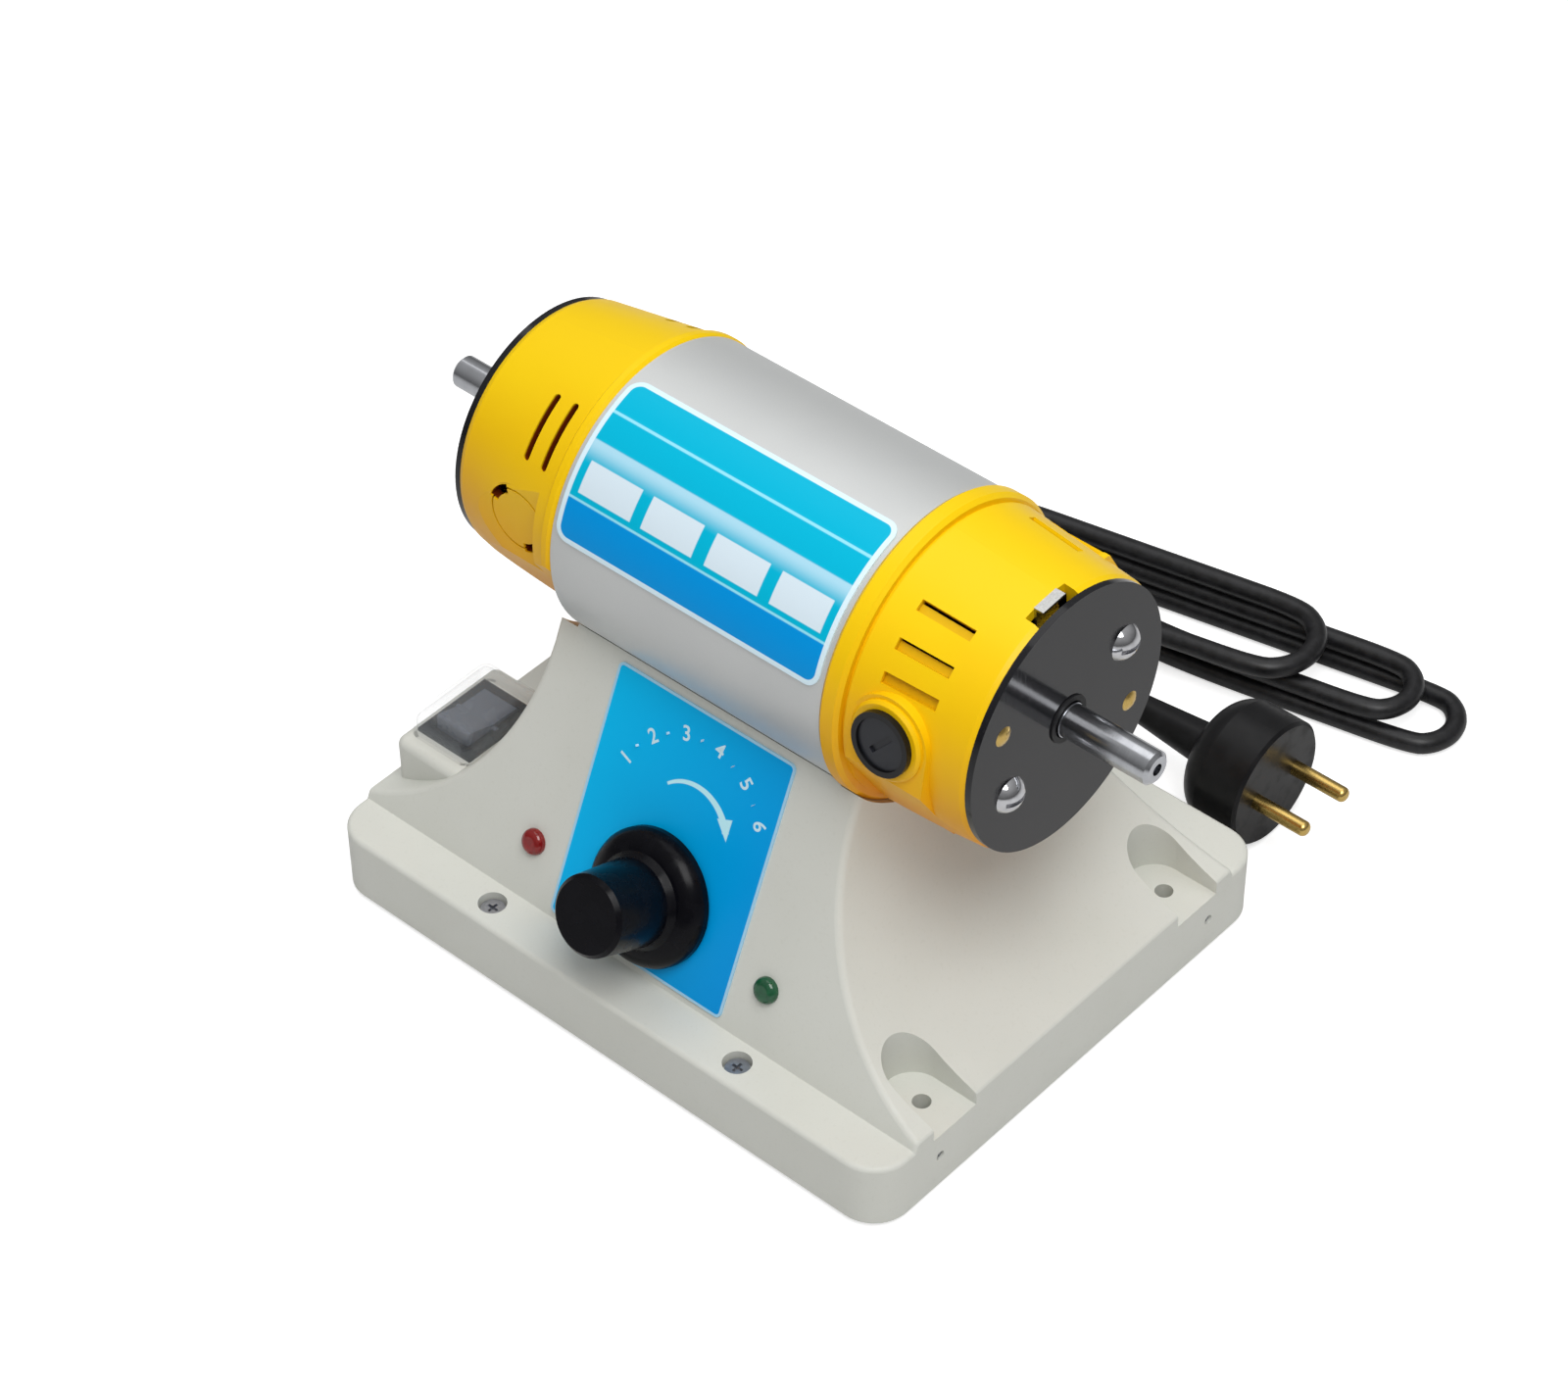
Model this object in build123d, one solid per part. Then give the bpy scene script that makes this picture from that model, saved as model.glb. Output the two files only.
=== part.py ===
# Two-ended bench polishing lathe: a barrel motor with a free shaft at each end, on a moulded base.
# The origin is on the bench under the middle of the base. +X runs along the shaft to the brush end,
# -Y is the side with the speed knob, and +Z is up. Lengths are in millimetres and angles in degrees.
from build123d import *
import math
import os

os.makedirs("parts", exist_ok=True)

# Base shell
BASE_LENGTH = 212.0
BASE_WIDTH = 172.0
BASE_CORNER_R = 12.0
FOOT_HEIGHT = 2.0
LEDGE_HEIGHT = 22.0
LEDGE_DEPTH = 15.0
EDGE_ROUND = 1.5
WALL = 3.0
PANEL_LEAN = 24.5
SADDLE_HALF = 56.0
SWEEP_TOP = 95.0
SWEEP_RIM = 26.4
PANEL_EDGE_ROUND = 2.0
RIM_ROUND = 1.2
# Motor barrel and its place on the base
AXIS_Z = 130.0
HOUSING_R = 45.0
HOUSING_WALL = 2.5
HOUSING_LENGTH = 98.0
CRADLE_GAP = 0.2
# End caps
CAP_LENGTH = 46.0
CAP_RING_R = 46.0
CAP_RING_WIDTH = 6.5
CAP_GROOVE_R = 43.0
CAP_GROOVE_WIDTH = 1.2
CAP_ROOT_R = 44.0
CAP_TIP_R = 40.6
CAP_TIP_CHAMFER = 1.5
RING_CHAMFER = 1.2
CAP_WALL = 3.0
FAN_CAP_LENGTH = 41.4
FAN_CAP_RING_R = 45.6
FAN_CAP_RING_WIDTH = 3.0
FAN_CAP_RING_STEP = 0.8
FAN_CAP_ROOT_R = 44.6
FAN_CAP_TIP_R = 38.8
SPIGOT_LENGTH = 6.0
SPIGOT_GAP = 0.1
END_WALL = 4.0
# Brush pad: a collar on a pad that slopes back into the cap below it
PAD_INSET = 22.0
BRUSH_TILT = 8.8
PAD_WIDTH = 26.0
PAD_FACE = 43.4
PAD_PROUD = 45.0
COLLAR_R = 11.8
COLLAR_CHAMFER = 0.8
PAD_FOLD = 13.0
PAD_TOE = (33.0, 27.5)
# Flats low on the caps, and the upright flats that carry the blanking plugs
LOWER_FLAT_ANGLE = 212.0
RIGHT_LOWER_FLAT = 41.0
LEFT_LOWER_FLAT = 39.5
SIDE_FLAT = 40.0
PLUG_INSET = 17.0
BLANK_Z = 3.6
BLANK_R = 9.5
BLANK_HEAD = 1.6
BLANK_STEM_R = 6.5
BLANK_STEM = 2.8
BLANK_NOTCH_RS = (8.0, 10.8)
BLANK_NOTCH_DEPTH = 4.5
BLANK_NOTCH_ANGLES = (137.0, -53.0)
BLANK_NOTCH_HALF_ANGLE = 25.0
BLANK_OUTLINE = 0.55
BLANK_OUTLINE_DEPTH = 1.0
BLANK_GAP = 0.1
# Vents: a shallow recess with a narrow gap along it
AXIAL_SLOT_DEPTH = 2.0
AXIAL_SLOT_GAP = 0.8
AXIAL_SLOT_LENGTH = 17.5
AXIAL_SLOT_WIDTH = 3.4
AXIAL_SLOT_INSET = 15.5
AXIAL_SLOT_ANGLES = (122.0, 137.3, 150.3)
RING_SLOT_WIDTH = 2.3
RING_SLOT_DEPTH = 1.2
RING_SLOT_GAP = 2.0
RING_SLOT_INSETS = (8.0, 15.4)
RING_SLOT_ANGLES = (122.0, 146.5)
# Notch in the brush end's rim with a bent steel clip in it
NOTCH_WIDTH = 16.0
NOTCH_LENGTH = 4.6
NOTCH_DEPTH = 10.0
NOTCH_ANGLE = 95.0
CLIP_WIDTH = 9.0
CLIP_THICKNESS = 0.8
CLIP_LENGTH = 3.2
CLIP_R = 41.2
# End plates, their screws, rivets and seals
PLATE_R = 40.0
FAN_PLATE_R = 38.0
PLATE_THICKNESS = 2.0
PLATE_SCREW_PITCH_R = 26.0
PLATE_SCREW_ANGLES = (25.0, 205.0)
PLATE_SCREW_HEAD_R = 5.5
PLATE_SCREW_HEAD_HEIGHT = 3.6
PLATE_SCREW_R = 2.5
PLATE_SCREW_LENGTH = 12.0
RIVET_PITCH_R = 30.0
RIVET_ANGLES = (-25.0, 155.0)
RIVET_HEAD_R = 3.0
RIVET_HEAD_HEIGHT = 1.0
RIVET_SHANK_R = 1.5
PLATE_SCREW_SLOT = 1.5
PLATE_SCREW_SLOT_DEPTH = 1.6
SEAL_R = 7.2
SEAL_PROUD = 0.5
SEAL_GAP = 0.1
SEAL_CLEARANCE = 0.4
SEAL_LIP = 1.0
# Spindle: a journal through the motor, a seat in each seal and a thinner free end beyond it
SHAFT_R = 5.0
SEAT_R = 5.2
SEAT_PROUD = 1.0
JOURNAL_R = 6.0
SHAFT_LENGTH = 254.0
SHAFT_CHAMFER = 1.0
CENTRE_HOLE_R = 1.8
CENTRE_HOLE_DEPTH = 3.5
RUNNING_GAP = 0.05
CORE_R = 22.0
CORE_LENGTH = 56.0
CORE_SLOTS = 12
CORE_SLOT_WIDTH = 3.0
CORE_SLOT_DEPTH = 7.0
WINDING_R = 20.0
WINDING_LENGTH = 11.0
COMMUTATOR_R = 13.0
COMMUTATOR_LENGTH = 18.0
COMMUTATOR_BARS = 24
FAN_INSET = 24.0
FAN_R = 34.0
FAN_WIDTH = 12.0
FAN_BLADES = 9
FAN_HUB_R = 11.0
FAN_WEB = 2.0
# Deep groove bearing of 12 x 28 x 8
BEARING_R = 14.0
BEARING_WIDTH = 8.0
BEARING_RING = 2.2
BALL_R = 1.65
BALL_COUNT = 9
# Field
YOKE_R = 42.3
YOKE_WALL = 5.8
POLE_R = 23.0
POLE_HALF_ANGLE = 50.0
STATOR_LENGTH = 60.0
COIL_GAP = 0.5
COIL_WIDTH = 8.0
# Brushes
HOLDER_R = 9.5
HOLDER_FLANGE = 2.0
HOLDER_TUBE_R = 6.6
BRUSH_SIZE = 7.0
BRUSH_LENGTH = 15.0
BRUSH_GAP = 0.15
SPRING_WIRE_R = 0.4
SPRING_R = 2.6
SPRING_TURNS = 6
BRUSH_CAP_R = 7.7
BRUSH_THREAD_R = 5.2
BRUSH_CAP_THREAD = 3.0
BRUSH_CAP_SUNK = 0.8
BRUSH_SLOT = (9.0, 1.8)
BRUSH_SLOT_ANGLE = 50.0
# Panel, label, lamps and knob
PANEL_X = 1.2
LABEL_WIDTH = 65.5
LABEL_START = 2.0
LABEL_END_GAP = 3.0
LABEL_THICKNESS = 0.5
LABEL_CORNER = 2.0
MOTOR_LABEL_MARGIN = 1.5
MOTOR_LABEL_ANGLES = (101.8, 166.4)
MOTOR_LABEL_CORNER = 4.5
LED_X = 44.5
LED_S = 18.2
LED_R = 4.0
LED_PROUD = 2.6
LED_STEM_R = 2.5
LED_STEM = 8.0
KNOB_S = 24.4
KNOB_FLANGE_R = 20.5
KNOB_FLANGE_HEIGHT = 7.0
KNOB_GRIP_R = 13.0
KNOB_TIP_R = 12.1
KNOB_HEIGHT = 29.6
KNOB_GAP = 0.8
CONTROL_SHAFT_R = 3.0
CONTROL_BUSH_R = 4.5
CONTROL_NUT_R = 6.9
CONTROL_NUT_HEIGHT = 2.4
CONTROL_BODY_R = 12.0
CONTROL_BODY_DEPTH = 9.0
# Switch box and rocker switch
BOX_X = (-102.0, -72.0)
BOX_Y = (-61.5, -19.0)
BOX_TOP = 44.0
BOX_ROUND = 3.0
SWITCH_X = -88.0
SWITCH_Y = -41.0
BEZEL_SIZE = (21.0, 28.0)
BEZEL_HEIGHT = 2.0
SWITCH_BODY_SIZE = (18.4, 25.4)
SWITCH_BODY_DEPTH = 18.0
SWITCH_GAP = 0.1
ROCKER_SIZE = (13.0, 20.6)
ROCKER_GAP = 0.4
ROCKER_TILT = 10.0
ROCKER_PIN_R = 1.2
COVER_SIZE = (24.2, 33.0)
COVER_HEIGHT = 8.6
COVER_WALL = 1.0
COVER_ROUND = 4.0
COVER_GAP = 0.2
# Bench bolt pockets as (end, side) signs, case screws and side screws; the switch takes the fourth corner
POCKETS = ((1, -1), (1, 1), (-1, 1))
POCKET_X = 82.0
POCKET_Y = 54.0
POCKET_R = 9.0
POCKET_FLOOR = 22.0
BENCH_HOLE_X = 94.0
BENCH_HOLE_R = 2.75
CASE_SCREW_X = 47.3
CASE_SCREW_Y = 78.0
COUNTERBORE_R = 4.3
COUNTERBORE_DEPTH = 4.0
CASE_SCREW_R = 1.9
CASE_SCREW_HEAD_R = 3.6
CASE_SCREW_HEAD_HEIGHT = 2.0
SIDE_SCREW_Y = 60.0
SIDE_SCREW_Z = 13.5
SIDE_SCREW_R = 1.5
BOSS_WALL = 2.5
# Bottom plate and feet
PLATE_GAP = 0.4
BOTTOM_THICKNESS = 2.0
FOOT_R = 8.0
FOOT_X = 88.0
FOOT_Y = 68.0
# Motor bolts
MOTOR_BOLT_X = 30.0
MOTOR_BOLT_R = 2.5
MOTOR_BOLT_HEAD_R = 4.5
MOTOR_BOLT_HEAD_HEIGHT = 3.5
# Control board
BOARD_SIZE = (84.0, 60.0, 1.6)
BOARD_Z = 14.0
BOARD_Y = 8.0
STANDOFF_R = 3.5
STANDOFF_INSET = 6.0
BOARD_SCREW_R = 1.5
BOARD_SCREW_HEAD = 2.0
# What stands on the board, with places measured from the board's middle
CHOKE_PLACE = (-22.0, 8.0)
CHOKE_R = 11.0
CHOKE_HOLE_R = 5.0
CHOKE_HEIGHT = 12.0
BIG_CAPACITOR_PLACE = (6.0, 14.0)
BIG_CAPACITOR_R = 8.0
BIG_CAPACITOR_HEIGHT = 22.0
SMALL_CAPACITOR_PLACE = (6.0, -6.0)
SMALL_CAPACITOR_R = 5.0
SMALL_CAPACITOR_HEIGHT = 13.0
SINK_PLACE = (26.0, -3.0)
SINK_SIZE = (16.0, 34.0, 22.0)
SINK_PLATE = 3.0
FIN_THICKNESS = 1.6
FIN_COUNT = 5
TERMINALS_PLACE = (-15.0, -22.5)
TERMINALS_SIZE = (30.0, 9.0, 10.0)
# Mains lead: a tube of steady diameter, lying on the bench behind the base
CORD_R = 3.25
CORD_Z = 3.3
RELIEF_X = -30.0
RELIEF_Z = 13.0
RELIEF_LENGTH = 22.0
RELIEF_FLANGE_R = 7.5
RELIEF_ROOT_R = 6.0
RELIEF_TIP_R = 4.4
HANK_LEAN = 12.0
HANK_CENTRE = (51.7, 169.8)
HANK_FOLD_R = 12.0
HANK_LAYER = 7.5
HANK_START = -88.0
HANK_LEFT = -97.0
HANK_RIGHTS = (44.7, 29.9)
HANK_CLIMB = 80.0
HANK_LAST_FOLD = -5.6
HANK_LAST_COLUMN = 19.2
# Plug: round two-pin body lying on its side
PLUG_FACE = (91.0, 111.5)
PLUG_R = 20.5
PLUG_BODY_LENGTH = 24.0
PLUG_SHOULDER = 9.0
PLUG_NECK_LENGTH = 28.0
PLUG_NECK_R = 6.8
PLUG_NECK_TIP_R = 4.4
PIN_R = 2.4
PIN_LENGTH = 19.0
PIN_PITCH = 19.0

# Sizes worked out from the ones above
HALF_LENGTH = BASE_LENGTH / 2
HALF_WIDTH = BASE_WIDTH / 2
SHELL_Z = FOOT_HEIGHT
LEDGE_Z = SHELL_Z + LEDGE_HEIGHT
SWEEP_REACH = HALF_LENGTH - SADDLE_HALF
SWEEP_R = (SWEEP_REACH**2 + (SWEEP_TOP - SWEEP_RIM) ** 2) / (2 * SWEEP_REACH)
PANEL_FOOT_Y = LEDGE_DEPTH - HALF_WIDTH
LEAN = math.radians(PANEL_LEAN)
PANEL_DEPTH = -PANEL_FOOT_Y * math.cos(LEAN) - (AXIS_Z - LEDGE_Z) * math.sin(LEAN)
PANEL_MIDDLE = -PANEL_FOOT_Y * math.sin(LEAN) + (AXIS_Z - LEDGE_Z) * math.cos(LEAN)
PANEL_REACH = PANEL_MIDDLE - math.sqrt(HOUSING_R**2 - PANEL_DEPTH**2)
LABEL_LENGTH = PANEL_REACH - LABEL_START - LABEL_END_GAP
MOTOR_LABEL_LENGTH = HOUSING_LENGTH - 2 * MOTOR_LABEL_MARGIN
HOUSING_END = HOUSING_LENGTH / 2
PAD_X = HOUSING_END + PAD_INSET
BLANK_X = HOUSING_END + PLUG_INSET
FAN_X = -HOUSING_END - FAN_INSET
CAP_END = HOUSING_END + CAP_LENGTH
PLATE_FACE = CAP_END + PLATE_THICKNESS
SHAFT_END = SHAFT_LENGTH / 2
FAN_CAP_END = HOUSING_END + FAN_CAP_LENGTH
FAN_CAP_SHORTER = CAP_LENGTH - FAN_CAP_LENGTH
GROOVE_END = HOUSING_END + CAP_RING_WIDTH + CAP_GROOVE_WIDTH
BEARING_DEPTH = END_WALL - 1.0 + BEARING_WIDTH
BEARING_X = CAP_END - BEARING_DEPTH
PLATE_Z = SHELL_Z + BOTTOM_THICKNESS
PLUG_Z = PLUG_R + 0.3
UP = (Align.CENTER, Align.CENTER, Align.MIN)
DOWN = (Align.CENTER, Align.CENTER, Align.MAX)


def upright(x, y, z, radius, height):
    """A round bar standing on height z."""
    return Pos(x, y, z) * Cylinder(radius, height, align=UP)


def slab(xs, ys, zs):
    """A block between two corners."""
    size = [high - low for low, high in (xs, ys, zs)]
    return Pos(xs[0], ys[0], zs[0]) * Box(*size, align=(Align.MIN, Align.MIN, Align.MIN))


def along_shaft(x, radius, length):
    """A round bar on the motor's axis, from x towards +X."""
    return Pos(x, 0, AXIS_Z) * Rot(0, 90, 0) * Cylinder(radius, length, align=UP)


def turned(points):
    """A body of revolution about the motor's axis from (x, radius) points."""
    face = make_face(Plane.XZ * Polyline(*points, close=True))
    return Pos(0, 0, AXIS_Z) * revolve(face, Axis.X)


def sector(x, length, inner, outer, start, end):
    """A piece of a ring round the motor's axis, between two angles measured from +Y towards +Z."""
    first = math.radians(start)
    last = math.radians(end)
    middle = (first + last) / 2

    def at(radius, angle):
        return (radius * math.cos(angle), radius * math.sin(angle))

    rim = ThreePointArc(at(outer, first), at(outer, middle), at(outer, last))
    far_side = Line(at(outer, last), at(inner, last))
    bore = ThreePointArc(at(inner, last), at(inner, middle), at(inner, first))
    near_side = Line(at(inner, first), at(outer, first))
    face = make_face([rim, far_side, bore, near_side])
    plane = Plane(origin=(x, 0, AXIS_Z), x_dir=(0, 1, 0), z_dir=(1, 0, 0))
    return extrude(plane * face, amount=length)


def radial(x, angle, radius):
    """A location on the motor's rim whose Z axis points outwards."""
    turn = math.radians(angle)
    out = Vector(0, math.cos(turn), math.sin(turn))
    centre = Vector(x, 0, AXIS_Z)
    return Location(Plane(origin=centre + out * radius, x_dir=(1, 0, 0), z_dir=out))


def on_disc(x, pitch_r, angle):
    """A point at an angle on a pitch circle of an end plate."""
    turn = math.radians(angle)
    return (x, pitch_r * math.cos(turn), AXIS_Z + pitch_r * math.sin(turn))


def panel_location(x, s, height=0.0):
    """A place on the sloping panel, s up from its foot, whose Z axis points out of the panel."""
    normal = Vector(0, -math.cos(LEAN), math.sin(LEAN))
    up_slope = Vector(0, math.sin(LEAN), math.cos(LEAN))
    foot = Vector(x, PANEL_FOOT_Y, LEDGE_Z)
    return Location(Plane(origin=foot + up_slope * s + normal * height, x_dir=(1, 0, 0), z_dir=normal))


def at_fan_end(piece):
    """The mirror image of a piece of the brush end, moved in to the shorter cap of the fan end."""
    return Pos(FAN_CAP_SHORTER, 0, 0) * mirror(piece, about=Plane.YZ)


def both_ends(piece):
    """The piece and its mirror image at the other end of the motor."""
    return [piece, at_fan_end(piece)]


def corners(x, y):
    """The four corners of a rectangle about the origin."""
    return [(sx * x, sy * y) for sx in (-1, 1) for sy in (-1, 1)]


# Base


def plinth(inset):
    """The rectangular foot of the base, or its hollow when inset by the wall."""
    outline = RectangleRounded(BASE_LENGTH - 2 * inset, BASE_WIDTH - 2 * inset, BASE_CORNER_R - inset)
    return extrude(Pos(0, 0, SHELL_Z) * outline, amount=LEDGE_HEIGHT - inset)


def saddle(inset):
    """The tapering middle of the base: concave ends, leaning front and back."""
    centre_x = SADDLE_HALF + SWEEP_R
    radius = SWEEP_R + inset
    half = HALF_LENGTH - inset
    side = SADDLE_HALF - inset
    low = LEDGE_Z - 2 * WALL
    rim = SWEEP_TOP - math.sqrt(radius**2 - (centre_x - half) ** 2)
    waist = math.radians(225)
    halfway = (centre_x + radius * math.cos(waist), SWEEP_TOP + radius * math.sin(waist))
    right = [
        Line((half, low), (half, rim)),
        ThreePointArc((half, rim), halfway, (side, SWEEP_TOP)),
        Line((side, SWEEP_TOP), (side, AXIS_Z)),
    ]
    left = [mirror(edge, about=Plane.YZ) for edge in right]
    top = Line((side, AXIS_Z), (-side, AXIS_Z))
    bottom = Line((half, low), (-half, low))
    end_view = extrude(Plane.XZ * make_face(right + left + [top, bottom]), amount=HALF_WIDTH, both=True)
    foot = -PANEL_FOOT_Y - inset / math.cos(LEAN)
    spread = (LEDGE_Z - low) * math.tan(LEAN)
    taper = (AXIS_Z - LEDGE_Z) * math.tan(LEAN)
    side_points = [
        (-foot - spread, low),
        (foot + spread, low),
        (foot - taper, AXIS_Z),
        (taper - foot, AXIS_Z),
    ]
    side_face = make_face(Polyline(*side_points, close=True))
    return end_view & extrude(Plane.YZ * side_face, amount=HALF_LENGTH, both=True)


def rounded_saddle():
    """The outside of the saddle, with soft edges along the sweeps, the panels and the end rims."""
    body = saddle(0)
    swept = body.edges().filter_by(GeomType.ELLIPSE)
    straight = body.edges().filter_by(GeomType.LINE)
    upper = []
    for edge in straight:
        tangent = edge % 0.5
        if edge.center().Z > SWEEP_TOP and abs(tangent.X) < 0.01 and abs(tangent.Z) > 0.5:
            upper.append(edge)
    body = fillet(list(swept) + upper, PANEL_EDGE_ROUND)
    rims = []
    for edge in body.edges().filter_by(GeomType.LINE):
        middle = edge.center()
        at_end = abs(abs(middle.X) - HALF_LENGTH) < 0.01
        if at_end and abs((edge % 0.5).Y) > 0.99 and middle.Z > LEDGE_Z:
            rims.append(edge)
    return fillet(rims, RIM_ROUND)


def switch_box(inset):
    """The raised box that holds the rocker switch."""
    xs = (BOX_X[0] + inset, BOX_X[1] - inset)
    ys = (BOX_Y[0] + inset, BOX_Y[1] - inset)
    box = slab(xs, ys, (LEDGE_Z - 2 * WALL, BOX_TOP - inset))
    edges = box.edges().filter_by(Axis.Z) + box.faces().sort_by(Axis.Z)[-1].edges()
    return fillet(edges, BOX_ROUND - inset / 2)


def pocket(side, row, grow):
    """A bench bolt pocket: round at its inner end, open at the end of the base."""
    radius = POCKET_R + grow
    inner = POCKET_X + POCKET_R
    floor = POCKET_FLOOR - grow
    height = AXIS_Z - floor
    round_end = upright(side * inner, row * POCKET_Y, floor, radius, height)
    middle = (inner + HALF_LENGTH + WALL) / 2
    straight = Box(HALF_LENGTH + WALL - inner, 2 * radius, height, align=UP)
    return round_end + Pos(side * middle, row * POCKET_Y, floor) * straight


def bench_bar(side, row, z, radius):
    """A bar down the middle of a bench bolt pocket, from z to the pocket's floor."""
    return upright(side * BENCH_HOLE_X, row * POCKET_Y, z, radius, POCKET_FLOOR - z)


def base_outside():
    """The base's outer form, with its pockets."""
    foot = plinth(0)
    foot = fillet(foot.faces().sort_by(Axis.Z)[-1].edges(), EDGE_ROUND)
    body = foot + rounded_saddle() + switch_box(0)
    for side, row in POCKETS:
        body = body - pocket(side, row, 0)
    return body


def base_hollow():
    """The room inside the base, round the pockets, the bosses and the cradle."""
    hollow = plinth(WALL) + saddle(WALL) + switch_box(WALL)
    for side, row in POCKETS:
        hollow = hollow - pocket(side, row, WALL)
        hollow = hollow - bench_bar(side, row, PLATE_Z, BENCH_HOLE_R + BOSS_WALL)
    for x, y in corners(CASE_SCREW_X, CASE_SCREW_Y):
        hollow = hollow - upright(x, y, PLATE_Z, COUNTERBORE_R + BOSS_WALL, LEDGE_HEIGHT)
    return hollow - along_shaft(-HALF_LENGTH, CAP_RING_R + CRADLE_GAP + WALL, BASE_LENGTH)


def cradle():
    """The room for the barrel and for the rings of the end caps."""
    barrel_room = along_shaft(-HALF_LENGTH, HOUSING_R + CRADLE_GAP, BASE_LENGTH)
    ring_room = along_shaft(HOUSING_END - CRADLE_GAP, CAP_RING_R + CRADLE_GAP, CAP_LENGTH)
    return [barrel_room, ring_room, mirror(ring_room, about=Plane.YZ)]


def base_holes():
    """Every hole through the base's walls."""
    holes = [bench_bar(side, row, 0, BENCH_HOLE_R) for side, row in POCKETS]
    for x, y in corners(CASE_SCREW_X, CASE_SCREW_Y):
        holes.append(upright(x, y, LEDGE_Z - COUNTERBORE_DEPTH, COUNTERBORE_R, COUNTERBORE_DEPTH))
        holes.append(upright(x, y, 0, CASE_SCREW_R + RUNNING_GAP, LEDGE_Z))
    side_hole = Rot(0, 90, 0) * Cylinder(SIDE_SCREW_R + RUNNING_GAP, 2 * HALF_LENGTH)
    holes += [Pos(0, y, SIDE_SCREW_Z) * side_hole for y in (-SIDE_SCREW_Y, SIDE_SCREW_Y)]
    for x in (-MOTOR_BOLT_X, MOTOR_BOLT_X):
        holes.append(upright(x, 0, PLATE_Z, MOTOR_BOLT_R + RUNNING_GAP, AXIS_Z))
    panel_cut = 4 * WALL
    holes.append(panel_location(PANEL_X, KNOB_S) * Cylinder(CONTROL_BUSH_R + RUNNING_GAP, panel_cut))
    for x in (-LED_X, LED_X):
        holes.append(panel_location(PANEL_X + x, LED_S) * Cylinder(LED_STEM_R + RUNNING_GAP, panel_cut))
    cover_seat = cover_form(-COVER_GAP, 2 * COVER_HEIGHT)
    width, length = SWITCH_BODY_SIZE
    switch_cut = Box(width + 2 * SWITCH_GAP, length + 2 * SWITCH_GAP, panel_cut)
    holes += [Pos(SWITCH_X, SWITCH_Y, BOX_TOP) * cut for cut in (cover_seat, switch_cut)]
    relief_hole = Rot(90, 0, 0) * Cylinder(RELIEF_ROOT_R + RUNNING_GAP, panel_cut)
    holes.append(Pos(RELIEF_X, HALF_WIDTH, RELIEF_Z) * relief_hole)
    return holes


def base_shell():
    """The moulded base, open underneath."""
    shell = base_outside() - base_hollow()
    for cut in cradle() + base_holes():
        shell = shell - cut
    return shell


def bottom_plate():
    """Steel plate that closes the base, with a lug at each side screw."""
    gap = WALL + PLATE_GAP
    outline = RectangleRounded(BASE_LENGTH - 2 * gap, BASE_WIDTH - 2 * gap, BASE_CORNER_R - gap)
    plate = extrude(Pos(0, 0, SHELL_Z) * outline, amount=BOTTOM_THICKNESS)
    lug_outer = HALF_LENGTH - gap
    lug_inner = lug_outer - 3.0
    for side in (-1, 1):
        xs = sorted((side * lug_inner, side * lug_outer))
        for row in (-1, 1):
            ys = (row * SIDE_SCREW_Y - 4.0, row * SIDE_SCREW_Y + 4.0)
            lug = slab(xs, ys, (SHELL_Z, SIDE_SCREW_Z + 4.0))
            bar = Cylinder(SIDE_SCREW_R, BASE_LENGTH)
            plate = plate + lug - Pos(0, row * SIDE_SCREW_Y, SIDE_SCREW_Z) * Rot(0, 90, 0) * bar
    for side, row in POCKETS:
        plate = plate - bench_bar(side, row, 0, BENCH_HOLE_R)
    for x, y in corners(CASE_SCREW_X, CASE_SCREW_Y):
        plate = plate - upright(x, y, 0, CASE_SCREW_R, LEDGE_Z)
    for x, y in board_points():
        plate = plate - upright(x, y, 0, BOARD_SCREW_R, LEDGE_Z)
    return plate


def rubber_feet():
    return [upright(x, y, 0, FOOT_R, FOOT_HEIGHT) for x, y in corners(FOOT_X, FOOT_Y)]


def cross_recess(width, depth):
    """A cross-shaped recess, cut downwards from the origin."""
    bar = Box(width, width / 4, depth, align=DOWN)
    return bar + Rot(0, 0, 90) * bar


def case_screws():
    """Screws at the bottom of the ledge's counterbores, down into the bottom plate."""
    seat = LEDGE_Z - COUNTERBORE_DEPTH
    screws = []
    for x, y in corners(CASE_SCREW_X, CASE_SCREW_Y):
        shank = upright(x, y, SHELL_Z, CASE_SCREW_R, seat - SHELL_Z)
        head = upright(x, y, seat, CASE_SCREW_HEAD_R, CASE_SCREW_HEAD_HEIGHT)
        top = seat + CASE_SCREW_HEAD_HEIGHT
        screws.append(shank + head - Pos(x, y, top) * cross_recess(CASE_SCREW_HEAD_R, 1.2))
    return screws


def side_screws():
    """Grub screws low in the ends of the base, into the lugs of the bottom plate."""
    screws = []
    for side in (-1, 1):
        for y in (-SIDE_SCREW_Y, SIDE_SCREW_Y):
            outer = HALF_LENGTH - 0.8
            inner = HALF_LENGTH - WALL - PLATE_GAP - 3.0
            shank = Cylinder(SIDE_SCREW_R, outer - inner, align=UP)
            slot = Pos(0, 0, outer - inner) * Box(2 * SIDE_SCREW_R, 0.6, 1.6)
            screws.append(Pos(side * inner, y, SIDE_SCREW_Z) * Rot(0, side * 90, 0) * (shank - slot))
    return screws


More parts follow.
